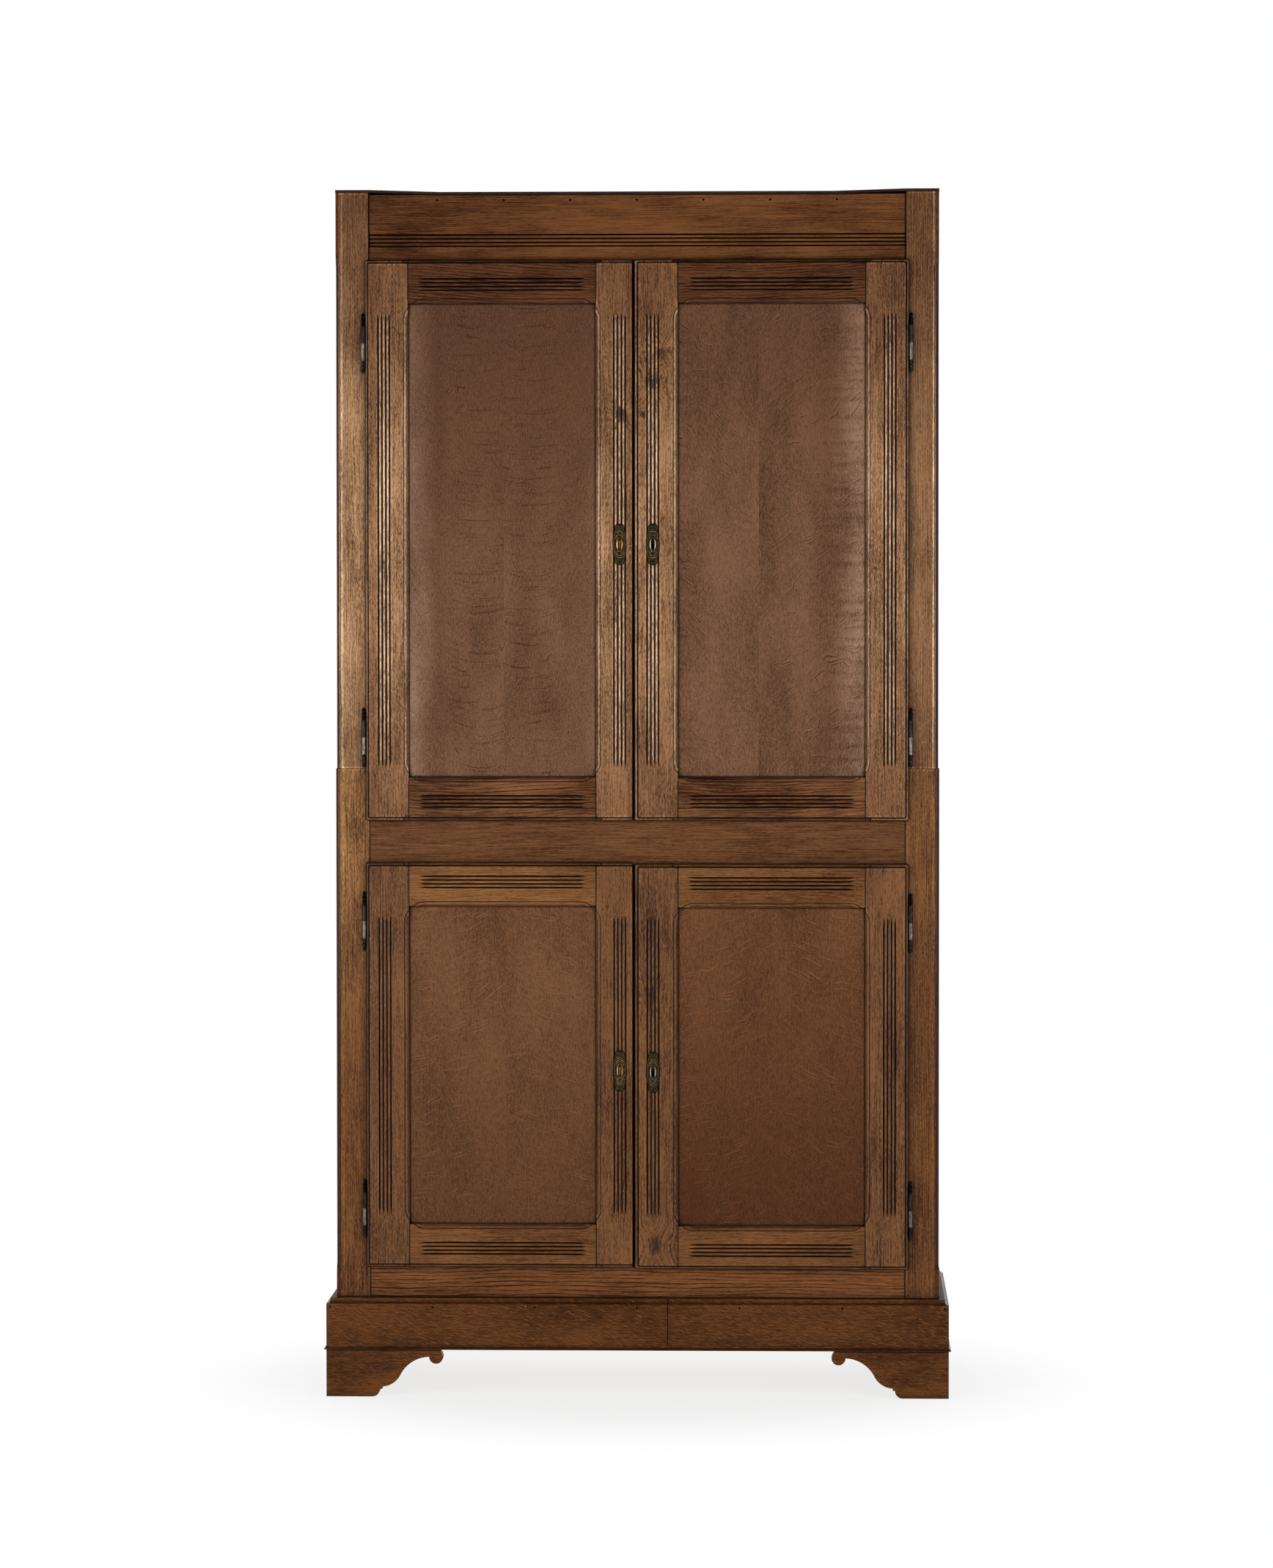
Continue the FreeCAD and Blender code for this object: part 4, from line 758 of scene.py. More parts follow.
    def _curl(self, pen: Graph, spot: Feed, across: Feed) -> bpy.types.NodeSocket:
        """Wavy ripples that run across the grain, in a zone beside the book joint.

        Args:
            pen: The graph to draw in.
            spot: The place in the log.
            across: The distance from the book joint.

        Returns:
            How much lighter or darker each point is.
        """
        u, v, w = pen.split(spot)
        sway = pen.times(pen.drift(spot, (9.0, 9.0, 9.0), 1.0), 0.016)
        ripple = pen.noise(pen.join(u, v, pen.plus(w, sway)), (9.0, 9.0, 95.0), 2.0, 0.5)
        zone = pen.span(across, *self.curl_zone)
        line = pen.span(ripple, 0.47, 0.36)
        glow = pen.span(ripple, 0.54, 0.66)
        return pen.times(pen.less(pen.times(glow, 0.7), line), zone, self.curl_depth)

    def _smiles(self, pen: Graph, spot: Feed, across: Feed) -> bpy.types.NodeSocket:
        """Thin hanging or arched lines in rows on both sides of the book joint.

        Args:
            pen: The graph to draw in.
            spot: The place in the log.
            across: The distance from the book joint.

        Returns:
            How much lighter or darker each point is.
        """
        u, v, w = pen.split(spot)
        sway = pen.times(pen.drift(spot, (14.0, 14.0, 14.0)), 0.022)
        side = pen.less(across, 0.046)
        level = pen.plus(w, sway, pen.times(side, side, self.smile_bend))
        total: Feed = 0.0
        for pitch, start in ((0.021, 0.0), (0.0147, 5.3)):
            row = pen.plus(pen.math("DIVIDE", level, pitch), start)
            rank = pen.chance(pen.math("FLOOR", row))
            middle = pen.plus(0.2, pen.times(rank, 0.6))
            away = pen.gap(pen.math("FRACT", row), middle)
            line = pen.span(away, 0.0016 / pitch, 0.0005 / pitch)
            part = pen.noise(pen.join(u, v, level), (17.0, 17.0, 75.0), 1.0)
            total = pen.most(total, pen.times(line, pen.span(part, 0.46, 0.60),
                                              pen.plus(0.45, pen.times(rank, 0.55))))
        return pen.times(total, pen.span(across, 0.105, 0.080), -self.smile_depth)

    def _knots(self, pen: Graph, x: Feed, z: Feed) -> tuple[Feed, Feed]:
        """The knots.

        Args:
            pen: The graph to draw in.
            x: The place across the whole piece.
            z: The height above the feet.

        Returns:
            Their dark hearts, and how far they push the grain aside.
        """
        mask: Feed = 0.0
        push: Feed = 0.0
        ragged: Feed = 0.0
        if self.knots:
            ragged = pen.times(pen.drift(pen.join(x, 0.0, z), (75.0, 75.0, 60.0), 3.0, 0.6), 2.4)
        for knot in self.knots:
            side = pen.math("DIVIDE", pen.less(x, knot.x), knot.across)
            rise = pen.math("DIVIDE", pen.less(z, knot.z), knot.along)
            away = pen.reach(side, rise)
            heart = pen.span(pen.plus(away, ragged), 1.5, 0.1)
            mask = pen.plus(mask, pen.times(heart, knot.dark))
            bulge = pen.times(pen.span(away, 3.6, 0.5), knot.across * 1.2)
            push = pen.plus(push, pen.times(pen.math("SIGN", side), bulge))
        return mask, push

    def _paint_light(self, pen: Graph, colour: Feed, x: Feed, z: Feed,
               cloud: Feed) -> bpy.types.NodeSocket:
        """Paint a pale highlight on the bright bands and shade on the dark ones.

        Args:
            pen: The graph to draw in.
            colour: The wood's colour so far.
            x: The place across the whole piece.
            z: The height above the feet.
            cloud: Soft noise that makes the stretches uneven.

        Returns:
            The changed colour.
        """
        for light_band in self.painted_light:
            away = pen.gap(z if light_band.level else x, light_band.middle)
            amount = pen.times(pen.span(away, light_band.reach, 0.0),
                               pen.plus(1.0, pen.times(cloud, 0.5)), abs(light_band.strength))
            # Painted glow above zero, painted shade below.
            tint = PAINTED_GLOW_TINT if light_band.strength > 0 else linear(PAINTED_SHADE_TINT)
            colour = pen.mix(amount, colour, tint, "MULTIPLY")
        return colour

    def _joints(self, pen: Graph, x: Feed, z: Feed) -> tuple[Feed, Feed]:
        """The joints in a face.

        Args:
            pen: The graph to draw in.
            x: The place across the whole piece.
            z: The height above the feet.

        Returns:
            The black lines, and the bands beside them that no hand rubs.
        """
        line: Feed = 0.0
        calm: Feed = 0.0
        for seam in self.seams:
            away = pen.gap(x, seam.x)
            part = pen.times(pen.math("GREATER_THAN", z, seam.low),
                             pen.math("LESS_THAN", z, seam.high))
            line = pen.most(line, pen.times(pen.span(away, 0.0012, 0.0005), part))
            calm = pen.most(calm, pen.times(pen.span(away, 0.006, 0.004), part))
        return line, calm

    def _age(self, pen: Graph, colour: Feed, spot: Feed, axes: Sequence[Feed],
             slopes: Sequence[Feed]) -> tuple[bpy.types.NodeSocket, Feed]:
        """Paint shade and old wax into the corners, painted shade onto the moulding flanks,
        painted highlights onto the reed crests and a dark line along the arrises, and rub the
        edges pale.

        Args:
            pen: The graph to draw in.
            colour: The wood's colour so far.
            spot: The place in the log.
            axes: The place in the whole piece.
            slopes: The masks of flanks, of all that isn't flat, and of crests.

        Returns:
            The aged colour, and the mask of painted corner shade and grime.
        """
        uneven = pen.plus(0.80, pen.times(pen.noise(spot, (60.0, 60.0, 25.0), 2.0), 0.4))
        rub = pen.noise(spot, (220.0, 220.0, 45.0), 3.0, 0.65)
        x, y, z = axes
        flank, _, crest_highlight = slopes
        line, calm = self._joints(pen, x, z)
        # Convex edges rubbed pale: worn arrises, and on the reed crests also a painted highlight.
        edge = pen.times(pen.span(pen.corner_shade(EDGE_REACH, inside=True), 0.04, 0.22),
                         pen.span(rub, 0.30, 0.56), self.wear,
                         pen.less(1.0, pen.most(calm, flank)))
        colour = pen.mix(edge, colour, EDGE_WEAR_AND_SHEEN, "MULTIPLY")
        # Painted highlight on the reed crests within each depth band.
        for level in self.crest_highlights:
            painted_edge_light = pen.times(pen.span(y, level.near, level.near + 0.0001),
                             pen.span(y, level.far, level.far - 0.0003), crest_highlight,
                             pen.span(rub, 0.22, 0.50), level.strength)
            colour = pen.mix(painted_edge_light, colour, CREST_HIGHLIGHT, "MULTIPLY")
        # Painted shade on the moulding flanks, set by how far the surface turns from square.
        colour = pen.mix(pen.times(flank, self.flank_shade), colour, linear(PAINTED_FLANK_SHADE))
        # A dark line painted along every convex arris.
        rim = pen.times(pen.span(pen.corner_shade(ARRIS_REACH, inside=True), 0.12, 0.34),
                        self.outline)
        colour = pen.mix(rim, colour, linear(ARRIS_DARK_LINE))
        colour = pen.mix(pen.times(line, 0.9), colour, linear(JOINT_LINE))
        # Corners and recesses darkened by occlusion: painted shade, with grime.
        near = pen.span(pen.corner_shade(CORNER_REACH), 0.07, 0.30)
        broad = pen.span(pen.corner_shade(RECESS_REACH, samples=4), 0.10, 0.60)
        shade = pen.most(near, pen.times(broad, uneven, self.dusk))
        colour = pen.mix(shade, colour, linear(CORNER_GRIME_AND_SHADE))
        if self.speck_share:
            colour = pen.mix(self._specks(pen, spot), colour, linear(PAINT_SPECK))
        return colour, shade

    def _specks(self, pen: Graph, spot: Feed) -> bpy.types.NodeSocket:
        """Small splashes of pale paint here and there.

        Args:
            pen: The graph to draw in.
            spot: The place in the log.

        Returns:
            How much of the paint covers each point.
        """
        node = pen.add("ShaderNodeTexVoronoi", feature="F1")
        pen.feed(node.inputs["Vector"], pen.stretch(spot, (20.0, 20.0, 20.0)))
        node.inputs["Scale"].default_value = 1.0
        hit = pen.times(pen.span(node.outputs["Distance"], 0.030, 0.018),
                        pen.math("GREATER_THAN", pen.split(node.outputs["Color"])[0],
                                 1 - self.speck_share))
        return pen.times(hit, 0.85)


@dataclass(frozen=True)
class MetalFinish:
    """Old forged or cast metal: bright where it is rubbed, dark where it is not."""

    bright: str
    dull: str
    dark: str
    roughness: float = 0.38
    metal: float = 1.0
    rub: float = 0.5
    middles: tuple[float, ...] = ()
    split: float = 0.031
    streaked: bool = False

    def build(self, name: str, seed: int) -> bpy.types.Material:
        """Draw the whole finish.

        Args:
            name: The material's name.
            seed: Shifts its spots.

        Returns:
            The finished material.
        """
        pen = Graph(name)
        dice = random.Random(seed)
        point = pen.place()
        x, y, z = pen.split(point)
        spot = pen.join(pen.plus(x, dice.uniform(0, 3)), y, pen.plus(z, dice.uniform(0, 3)))
        stain = pen.noise(spot, (190.0, 190.0, 120.0), 4.0, 0.62)
        fine = pen.noise(spot, (1600.0, 1600.0, 260.0 if self.streaked else 1600.0), 2.0, 0.6)
        edge = pen.span(pen.corner_shade(0.0016, inside=True), 0.20, 0.60)
        shine = pen.math("ADD", pen.times(pen.span(stain, 0.38, 0.66), self.rub),
                         pen.times(edge, 0.45), clamp=True)
        colour = pen.mix(shine, linear(self.dull), linear(self.bright))
        colour = pen.mix(pen.times(pen.span(fine, 0.52, 0.70), 0.45), colour, linear(self.dark))
        if self.middles:
            away = pen.gap(z, self.middles[0])
            for middle in self.middles[1:]:
                away = pen.math("MINIMUM", away, pen.gap(z, middle))
            tip = pen.span(away, self.split - 0.0015, self.split + 0.0010)
            colour = pen.mix(pen.times(tip, 0.86), colour, linear(self.dark))
        # Painted shade and grime in the corners.
        shade = pen.span(pen.corner_shade(0.005), 0.25, 0.80)
        colour = pen.mix(pen.times(shade, 0.85), colour, linear(METAL_GRIME_AND_SHADE))
        roughness = pen.plus(self.roughness, pen.times(pen.less(stain, 0.5), 0.4),
                             pen.times(shine, -0.12), pen.times(shade, 0.2))
        height = pen.plus(pen.times(stain, 0.8), pen.times(fine, 0.4))
        return pen.surface(colour, roughness, pen.bump(height, 0.0003, 0.4), metal=self.metal)


BOSS_OVAL = (0.0068, 0.0150)


@dataclass(frozen=True)
class Keyhole:
    """A keyhole: a round, whose middle stands above the plate's, and the slot under it."""

    rise: float = 0.0042
    radius: float = 0.0034
    slot_half: float = 0.0024
    slot_drop: float = 0.0120


@dataclass(frozen=True)
class PlateFinish:
    """Dark old brass of a keyhole plate, rubbed bright on its boss, with painted highlight
    crescents there and painted shade and highlight on its leaf crests.
    """

    boss_polish_and_highlight: str
    body: str = "57482f"
    deep: str = "211a11"
    crest_highlight: str = "a07d4c"
    floor: str = "8c5c42"
    hole: Keyhole = Keyhole()

    def build(self, name: str, seed: int, middle: tuple[float, float]) -> bpy.types.Material:
        """Draw the whole finish.

        Args:
            name: The material's name.
            seed: Shifts its spots.
            middle: The plate's middle in X and Z.

        Returns:
            The finished material.
        """
        pen = Graph(name)
        x, y, z = pen.split(pen.place())
        spot = pen.join(pen.plus(x, seed * SEED_STEP), y, z)
        side, rise = pen.less(x, middle[0]), pen.less(z, middle[1])
        across = pen.math("DIVIDE", side, BOSS_OVAL[0])
        along = pen.math("DIVIDE", rise, BOSS_OVAL[1])
        away = pen.reach(across, along)
        stain = pen.noise(spot, (420.0, 420.0, 300.0), 4.0, 0.62)
        front = pen.math("MULTIPLY", y, -1.0)
        hole = self._keyhole(pen, side, rise)
        colour = pen.mix(pen.span(stain, 0.35, 0.68), linear(self.deep), linear(self.body))
        lobes = pen.math("SINE", pen.times(pen.less(away, 0.10), 26.0))
        flat_side, flat_rise = pen.math("ABSOLUTE", side), pen.math("ABSOLUTE", rise)
        crown = pen.times(pen.span(flat_rise, 0.0090, 0.0120), pen.span(away, 1.75, 1.55),
                          pen.span(flat_side, 0.0075, 0.0055))
        # Painted shade and painted highlight in rings on the leaf crests above and below the boss.
        colour = pen.mix(pen.times(crown, pen.span(lobes, 0.2, -0.2), 0.8), colour,
                         linear(self.deep))
        colour = pen.mix(pen.times(crown, pen.span(lobes, 0.35, 0.85),
                                   pen.span(stain, 0.30, 0.60)), colour, linear(self.crest_highlight))
        # Painted highlight crescents on both sides of the boss, over its polish.
        shine = pen.times(pen.span(away, 0.82, 0.70), pen.span(away, 0.46, 0.60),
                          pen.span(flat_side, 0.0024, 0.0040), pen.span(stain, 0.15, 0.55))
        colour = pen.mix(shine, colour, linear(self.boss_polish_and_highlight))
        # Painted shade and grime round the rim, in the corners and along the keyhole's edge.
        rim = pen.most(pen.span(pen.corner_shade(0.0012), 0.20, 0.60),
                       pen.span(front, 0.24510, 0.24494))
        rim = pen.most(pen.times(rim, 0.85), pen.span(hole, 0.0008, 0.0002))
        colour = pen.mix(rim, colour, linear(PLATE_SHADE_AND_GRIME))
        colour = pen.mix(pen.span(hole, -0.0007, -0.0012), colour, linear(self.floor))
        roughness = pen.plus(0.46, pen.times(shine, -0.16), pen.times(rim, 0.2))
        height = pen.plus(pen.times(stain, 0.8), pen.noise(spot, (1500.0,) * 3, 2.0))
        return pen.surface(colour, roughness, pen.bump(height, 0.0002, 0.4), metal=1.0)

    def _keyhole(self, pen: Graph, side: Feed, rise: Feed) -> bpy.types.NodeSocket:
        """How far a point lies outside the keyhole's outline.

        Args:
            pen: The graph to draw in.
            side: The place across, from the plate's middle.
            rise: The place up, from there.

        Returns:
            The distance, below zero inside.
        """
        drop = pen.less(rise, self.hole.rise)
        head = pen.less(pen.reach(side, drop), self.hole.radius)
        slot_end = self.hole.rise - self.hole.slot_drop
        slot = pen.most(pen.less(pen.math("ABSOLUTE", side), self.hole.slot_half),
                        pen.most(drop, pen.less(slot_end, rise)))
        return pen.math("MINIMUM", head, slot)


class Paint:
    """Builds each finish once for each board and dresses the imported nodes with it."""

    def __init__(self) -> None:
        """Start with no finish made."""
        self.count = 0

    def dress(self, names: Iterable[str], finish: OakFinish | MetalFinish, label: str) -> None:
        """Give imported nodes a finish, each cut from its own place.

        Args:
            names: The nodes' names.
            finish: The finish they share.
            label: What the finish is called.
        """
        for name in names:
            self.count += 1
            material = finish.build(f"{label}_{self.count}", self.count)
            self.apply(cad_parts[name], material)
            LOG.info("%s dressed in %s", name, label)

    @staticmethod
    def apply(piece: bpy.types.Object, material: bpy.types.Material) -> None:
        """Put one material on every slot of a piece.

        Args:
            piece: The piece.
            material: Its finish.
        """
        if not piece.material_slots:
            piece.data.materials.append(material)
        for slot in piece.material_slots:
            slot.material = material


def add_piece(name: str, mesh: bpy.types.Mesh, body: str,
              material: bpy.types.Material) -> bpy.types.Object:
    """Make a piece from a mesh, finish it and let it ride on a body.

    Args:
        name: The piece's name.
        mesh: Its mesh, in the row frame.
        body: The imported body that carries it.
        material: Its finish.

    Returns:
        The new piece.
    """
    piece = bpy.data.objects.new(name, mesh)
    bpy.context.scene.collection.objects.link(piece)
    mesh.materials.append(material)
    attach(piece, body)
    LOG.info("%s made with %d faces on %s", name, len(mesh.polygons), body)
    return piece


def closed(name: str, shape: bmesh.types.BMesh) -> bpy.types.Mesh:
    """Turn a closed shape into a mesh whose faces look outwards, and free it.

    Args:
        name: The mesh's name.
        shape: The closed shape.

    Returns:
        The mesh.
    """
    bmesh.ops.recalc_face_normals(shape, faces=shape.faces[:])
    mesh = bpy.data.meshes.new(name)
    shape.to_mesh(mesh)
    shape.free()
    return mesh


def lofted(name: str, front: Callable[[float, float], Vector],
           back: Callable[[float, float], Vector], columns: int, rows: int) -> bpy.types.Mesh:
    """A closed plate between two sheets of points that share their rim.

    Args:
        name: The mesh's name.
        front: Gives the front sheet's point for two numbers from 0 to 1.
        back: Gives the back sheet's point for them.
        columns: Faces across.
        rows: Faces up.

    Returns:
        The closed mesh.
    """
    shape = bmesh.new()
    sheets = []
    for sheet in (front, back):
        sheets.append([[shape.verts.new(sheet(i / columns, j / rows))
                        for i in range(columns + 1)] for j in range(rows + 1)])
    near, far = sheets
    for j in range(rows):
        for i in range(columns):
            shape.faces.new((near[j][i], near[j][i + 1], near[j + 1][i + 1], near[j + 1][i]))
            shape.faces.new((far[j][i], far[j + 1][i], far[j + 1][i + 1], far[j][i + 1]))
    for i in range(columns):
        shape.faces.new((near[0][i], far[0][i], far[0][i + 1], near[0][i + 1]))
        shape.faces.new((near[rows][i], near[rows][i + 1], far[rows][i + 1], far[rows][i]))
    for j in range(rows):
        shape.faces.new((near[j][0], near[j + 1][0], far[j + 1][0], far[j][0]))
        shape.faces.new((near[j][columns], far[j][columns], far[j + 1][columns],
                         near[j + 1][columns]))
    return closed(name, shape)


def turned(name: str, profile: Sequence[tuple[float, float]], middle: Vector,
           sides: int = 24) -> bpy.types.Mesh:
    """A turned piece whose axis looks to the front.

    Args:
        name: The mesh's name.
        profile: Pairs of radius and distance in front of the middle, back to front.
        middle: A point on the axis.
        sides: Faces round the axis.

    Returns:
        The closed mesh, smooth.
    """
    shape = bmesh.new()
    rings = []
    for radius, reach in profile:
        rings.append([shape.verts.new(middle + Vector((
            radius * math.cos(math.tau * k / sides), -reach,
            radius * math.sin(math.tau * k / sides)))) for k in range(sides)])
    for low, high in zip(rings, rings[1:]):
        for k in range(sides):
            after = (k + 1) % sides
            shape.faces.new((low[k], low[after], high[after], high[k]))
    shape.faces.new(rings[0])
    shape.faces.new(rings[-1])
    mesh = closed(name, shape)
    mesh.shade_smooth()
    return mesh


def soft_step(value: float, low: float, high: float) -> float:
    """Rise smoothly from 0 at low to 1 at high."""
    part = min(1.0, max(0.0, (value - low) / (high - low)))
    return part * part * (3 - 2 * part)


def hill(x: float, z: float, middle: tuple[float, float], size: tuple[float, float]) -> float:
    """A soft round hill, 1 at its middle."""
    return math.exp(-((x - middle[0]) / size[0]) ** 2 - ((z - middle[1]) / size[1]) ** 2)


@dataclass(frozen=True)
class Mound:
    """A soft mound of a plate's leaf crest, or a dent below zero, mirrored to all four sides."""

    height: float
    middle: tuple[float, float]
    size: tuple[float, float]


@dataclass
class KeyPlate:
    """A pressed brass keyhole plate: oval boss, leaf crests, beaded rim, two pins."""

    node: str
    body: str
    pierced: bool
    face: float = -0.244
    height: float = 0.074
    width: float = 0.025
    end: float = 0.0116
    sink: float = 0.0003
    flare: float = 0.0020
    ear_cut: float = 0.0034
    boss_rise: float = 0.0019
    hole: Keyhole = Keyhole()
    pin_pitch: float = 0.0634
    pin_seat: float = -0.0011
    upper_pin: tuple[float, float] = (0.0013, 0.0007)
    lower_pin: tuple[float, float] = (0.0019, 0.0009)
    crease: float = 48.0
    mounds: tuple[Mound, ...] = (
        Mound(0.00080, (0.0022, 0.0232), (0.0018, 0.0017)),
        Mound(0.00060, (0.0, 0.0262), (0.0013, 0.0016)),
        Mound(-0.00040, (0.0, 0.0222), (0.0007, 0.0016)),
        Mound(0.00018, (0.0, 0.0317), (0.0032, 0.0030)))
    columns: int = 40
    rows: int = 116

    def half_width(self, rise: float) -> float:
        """Half the plate's width, which swells at the boss and narrows at the ears.

        Args:
            rise: The height above the plate's middle.

        Returns:
            Half the width there.
        """
        share = min(1.0, abs(rise) / (self.height / 2))
        swell = (1 - share * share) ** 1.5
        ear = self.ear_cut * (1 - soft_step(1 - share, 0.0, 0.085))
        return (self.end / 2 + self.flare - ear
                + (self.width / 2 - self.end / 2 - self.flare) * swell)

    def relief(self, x: float, z: float) -> float:
        """How far the pressed face stands before the door.

        Args:
            x: The place across, from the plate's middle.
            z: The place up, from there.

        Returns:
            The height of the face.
        """
        rim = min(self.half_width(z) - abs(x), self.height / 2 - abs(z))
        up = abs(z)
        base = 0.00050 + 0.00065 * soft_step(rim, 0.0, 0.0016)
        bead = 0.00026 * math.exp(-((rim - 0.0024) / 0.00055) ** 2)
        oval = math.hypot(x / BOSS_OVAL[0], z / BOSS_OVAL[1])
        dome = self.boss_rise * math.sqrt(max(0.0, 1 - oval ** 3.0)) if oval < 1 else 0.0
        groove = -0.00025 * math.exp(-((oval - 1.07) / 0.05) ** 2)
        arch = 0.00085 * math.exp(-((oval - 1.27) / 0.075) ** 2) * soft_step(up, 0.0085, 0.0150)
        height = base + bead + dome + groove + arch
        for mound in self.mounds:
            height += mound.height * hill(abs(x), up, mound.middle, mound.size)
        return height

    def keyhole(self, name: str, middle: Vector, reach: tuple[float, float]) -> bpy.types.Mesh:
        """The round and the slot of the keyhole as one cutting shape.

        Args:
            name: The mesh's name.
            middle: The middle of the round.
            reach: The two Y values that it runs between.

        Returns:
            The closed mesh.
        """
        outline = []
        radius, half, drop = self.hole.radius, self.hole.slot_half, self.hole.slot_drop
        dip = math.asin(half / radius)
        steps = 28
        for k in range(steps + 1):
            turn = -math.pi / 2 + dip + (math.tau - 2 * dip) * k / steps
            outline.append((radius * math.cos(turn), radius * math.sin(turn)))
        outline += [(-half, -drop), (half, -drop)]
        shape = bmesh.new()
        rings = [[shape.verts.new((middle.x + x, y, middle.z + z)) for x, z in outline]
                 for y in reach]
        shape.faces.new(rings[0])
        shape.faces.new(rings[1])
        for k, _ in enumerate(outline):
            after = (k + 1) % len(outline)
            shape.faces.new((rings[0][k], rings[0][after], rings[1][after], rings[1][k]))
        return closed(name, shape)

    def build(self, brass: bpy.types.Material, iron: bpy.types.Material) -> None:
        """Make the plate and its pins in place of the plain node.

        Args:
            brass: The plate's finish.
            iron: The later pin's finish.
        """
        low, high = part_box(self.node)
        middle = Vector(((low.x + high.x) / 2, self.face, (low.z + high.z) / 2))
        mesh = self.pierced_mesh(middle)
        piece = add_piece(f"{self.node}_relief", mesh, self.body, brass)
        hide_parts(self.node)
        self.add_pin("upper", middle + Vector((0, self.pin_seat, self.pin_pitch / 2)),
                     self.upper_pin, brass)
        self.add_pin("lower", middle + Vector((0, self.pin_seat, -self.pin_pitch / 2)),
                     self.lower_pin, iron)

    def add_pin(self, label: str, place: Vector, size: tuple[float, float],
                metal: bpy.types.Material) -> None:
        """Drive one round-headed pin.

        Args:
            label: Which of the pins it is.
            place: Where its head sits.
            size: The head's radius and height.
            metal: Its finish.
        """
        radius, rise = size
        profile = [(radius * 0.9, -0.0008), (radius, 0.0), (radius * 0.94, rise * 0.45),
                   (radius * 0.72, rise * 0.8), (radius * 0.35, rise)]
        name = f"{self.node}_{label}_pin"
        add_piece(name, turned(name, profile, place), self.body, metal)

    def pierced_mesh(self, middle: Vector) -> bpy.types.Mesh:
        """Press the plate and cut its keyhole.

        Args:
            middle: The plate's middle, on the door's face.

        Returns:
            The closed mesh.
        """
        half = self.height / 2

        def spread(i: float, j: float) -> tuple[float, float]:
            """The place on the plate, away from its middle."""
            z = (j * 2 - 1) * half
            return (i * 2 - 1) * self.half_width(z), z

        def front(i: float, j: float) -> Vector:
            """A point of the pressed face."""
            x, z = spread(i, j)
            return middle + Vector((x, -self.relief(x, z), z))

        def back(i: float, j: float) -> Vector:
            """A point of the flat back."""
            x, z = spread(i, j)
            return middle + Vector((x, self.sink, z))

        plate = bpy.data.objects.new(f"{self.node}_plate_raw",
                                     lofted(f"{self.node}_raw", front, back,
                                            self.columns, self.rows))
        bpy.context.scene.collection.objects.link(plate)
        floor = self.face + (0.002 if self.pierced else -0.0010)
        cutter_mesh = self.keyhole(f"{self.node}_keyhole", middle + Vector((0, 0, self.hole.rise)),
                                   (self.face - 0.01, floor))
        cutter = bpy.data.objects.new(f"{self.node}_cutter", cutter_mesh)
        bpy.context.scene.collection.objects.link(cutter)
        pierce = plate.modifiers.new("keyhole", "BOOLEAN")
        pierce.operation = "DIFFERENCE"
        pierce.solver = "EXACT"
        pierce.object = cutter
        bpy.context.view_layer.update()
        graph = bpy.context.evaluated_depsgraph_get()
        mesh = bpy.data.meshes.new_from_object(plate.evaluated_get(graph))
        mesh.name = f"{self.node}_relief"
        for spare in (plate, cutter):
            bpy.data.objects.remove(spare)
        mesh.shade_smooth()
        mesh.set_sharp_from_angle(angle=math.radians(self.crease))
        return mesh


SIDES = ("left", "right")
LEVELS = ("upper", "lower")


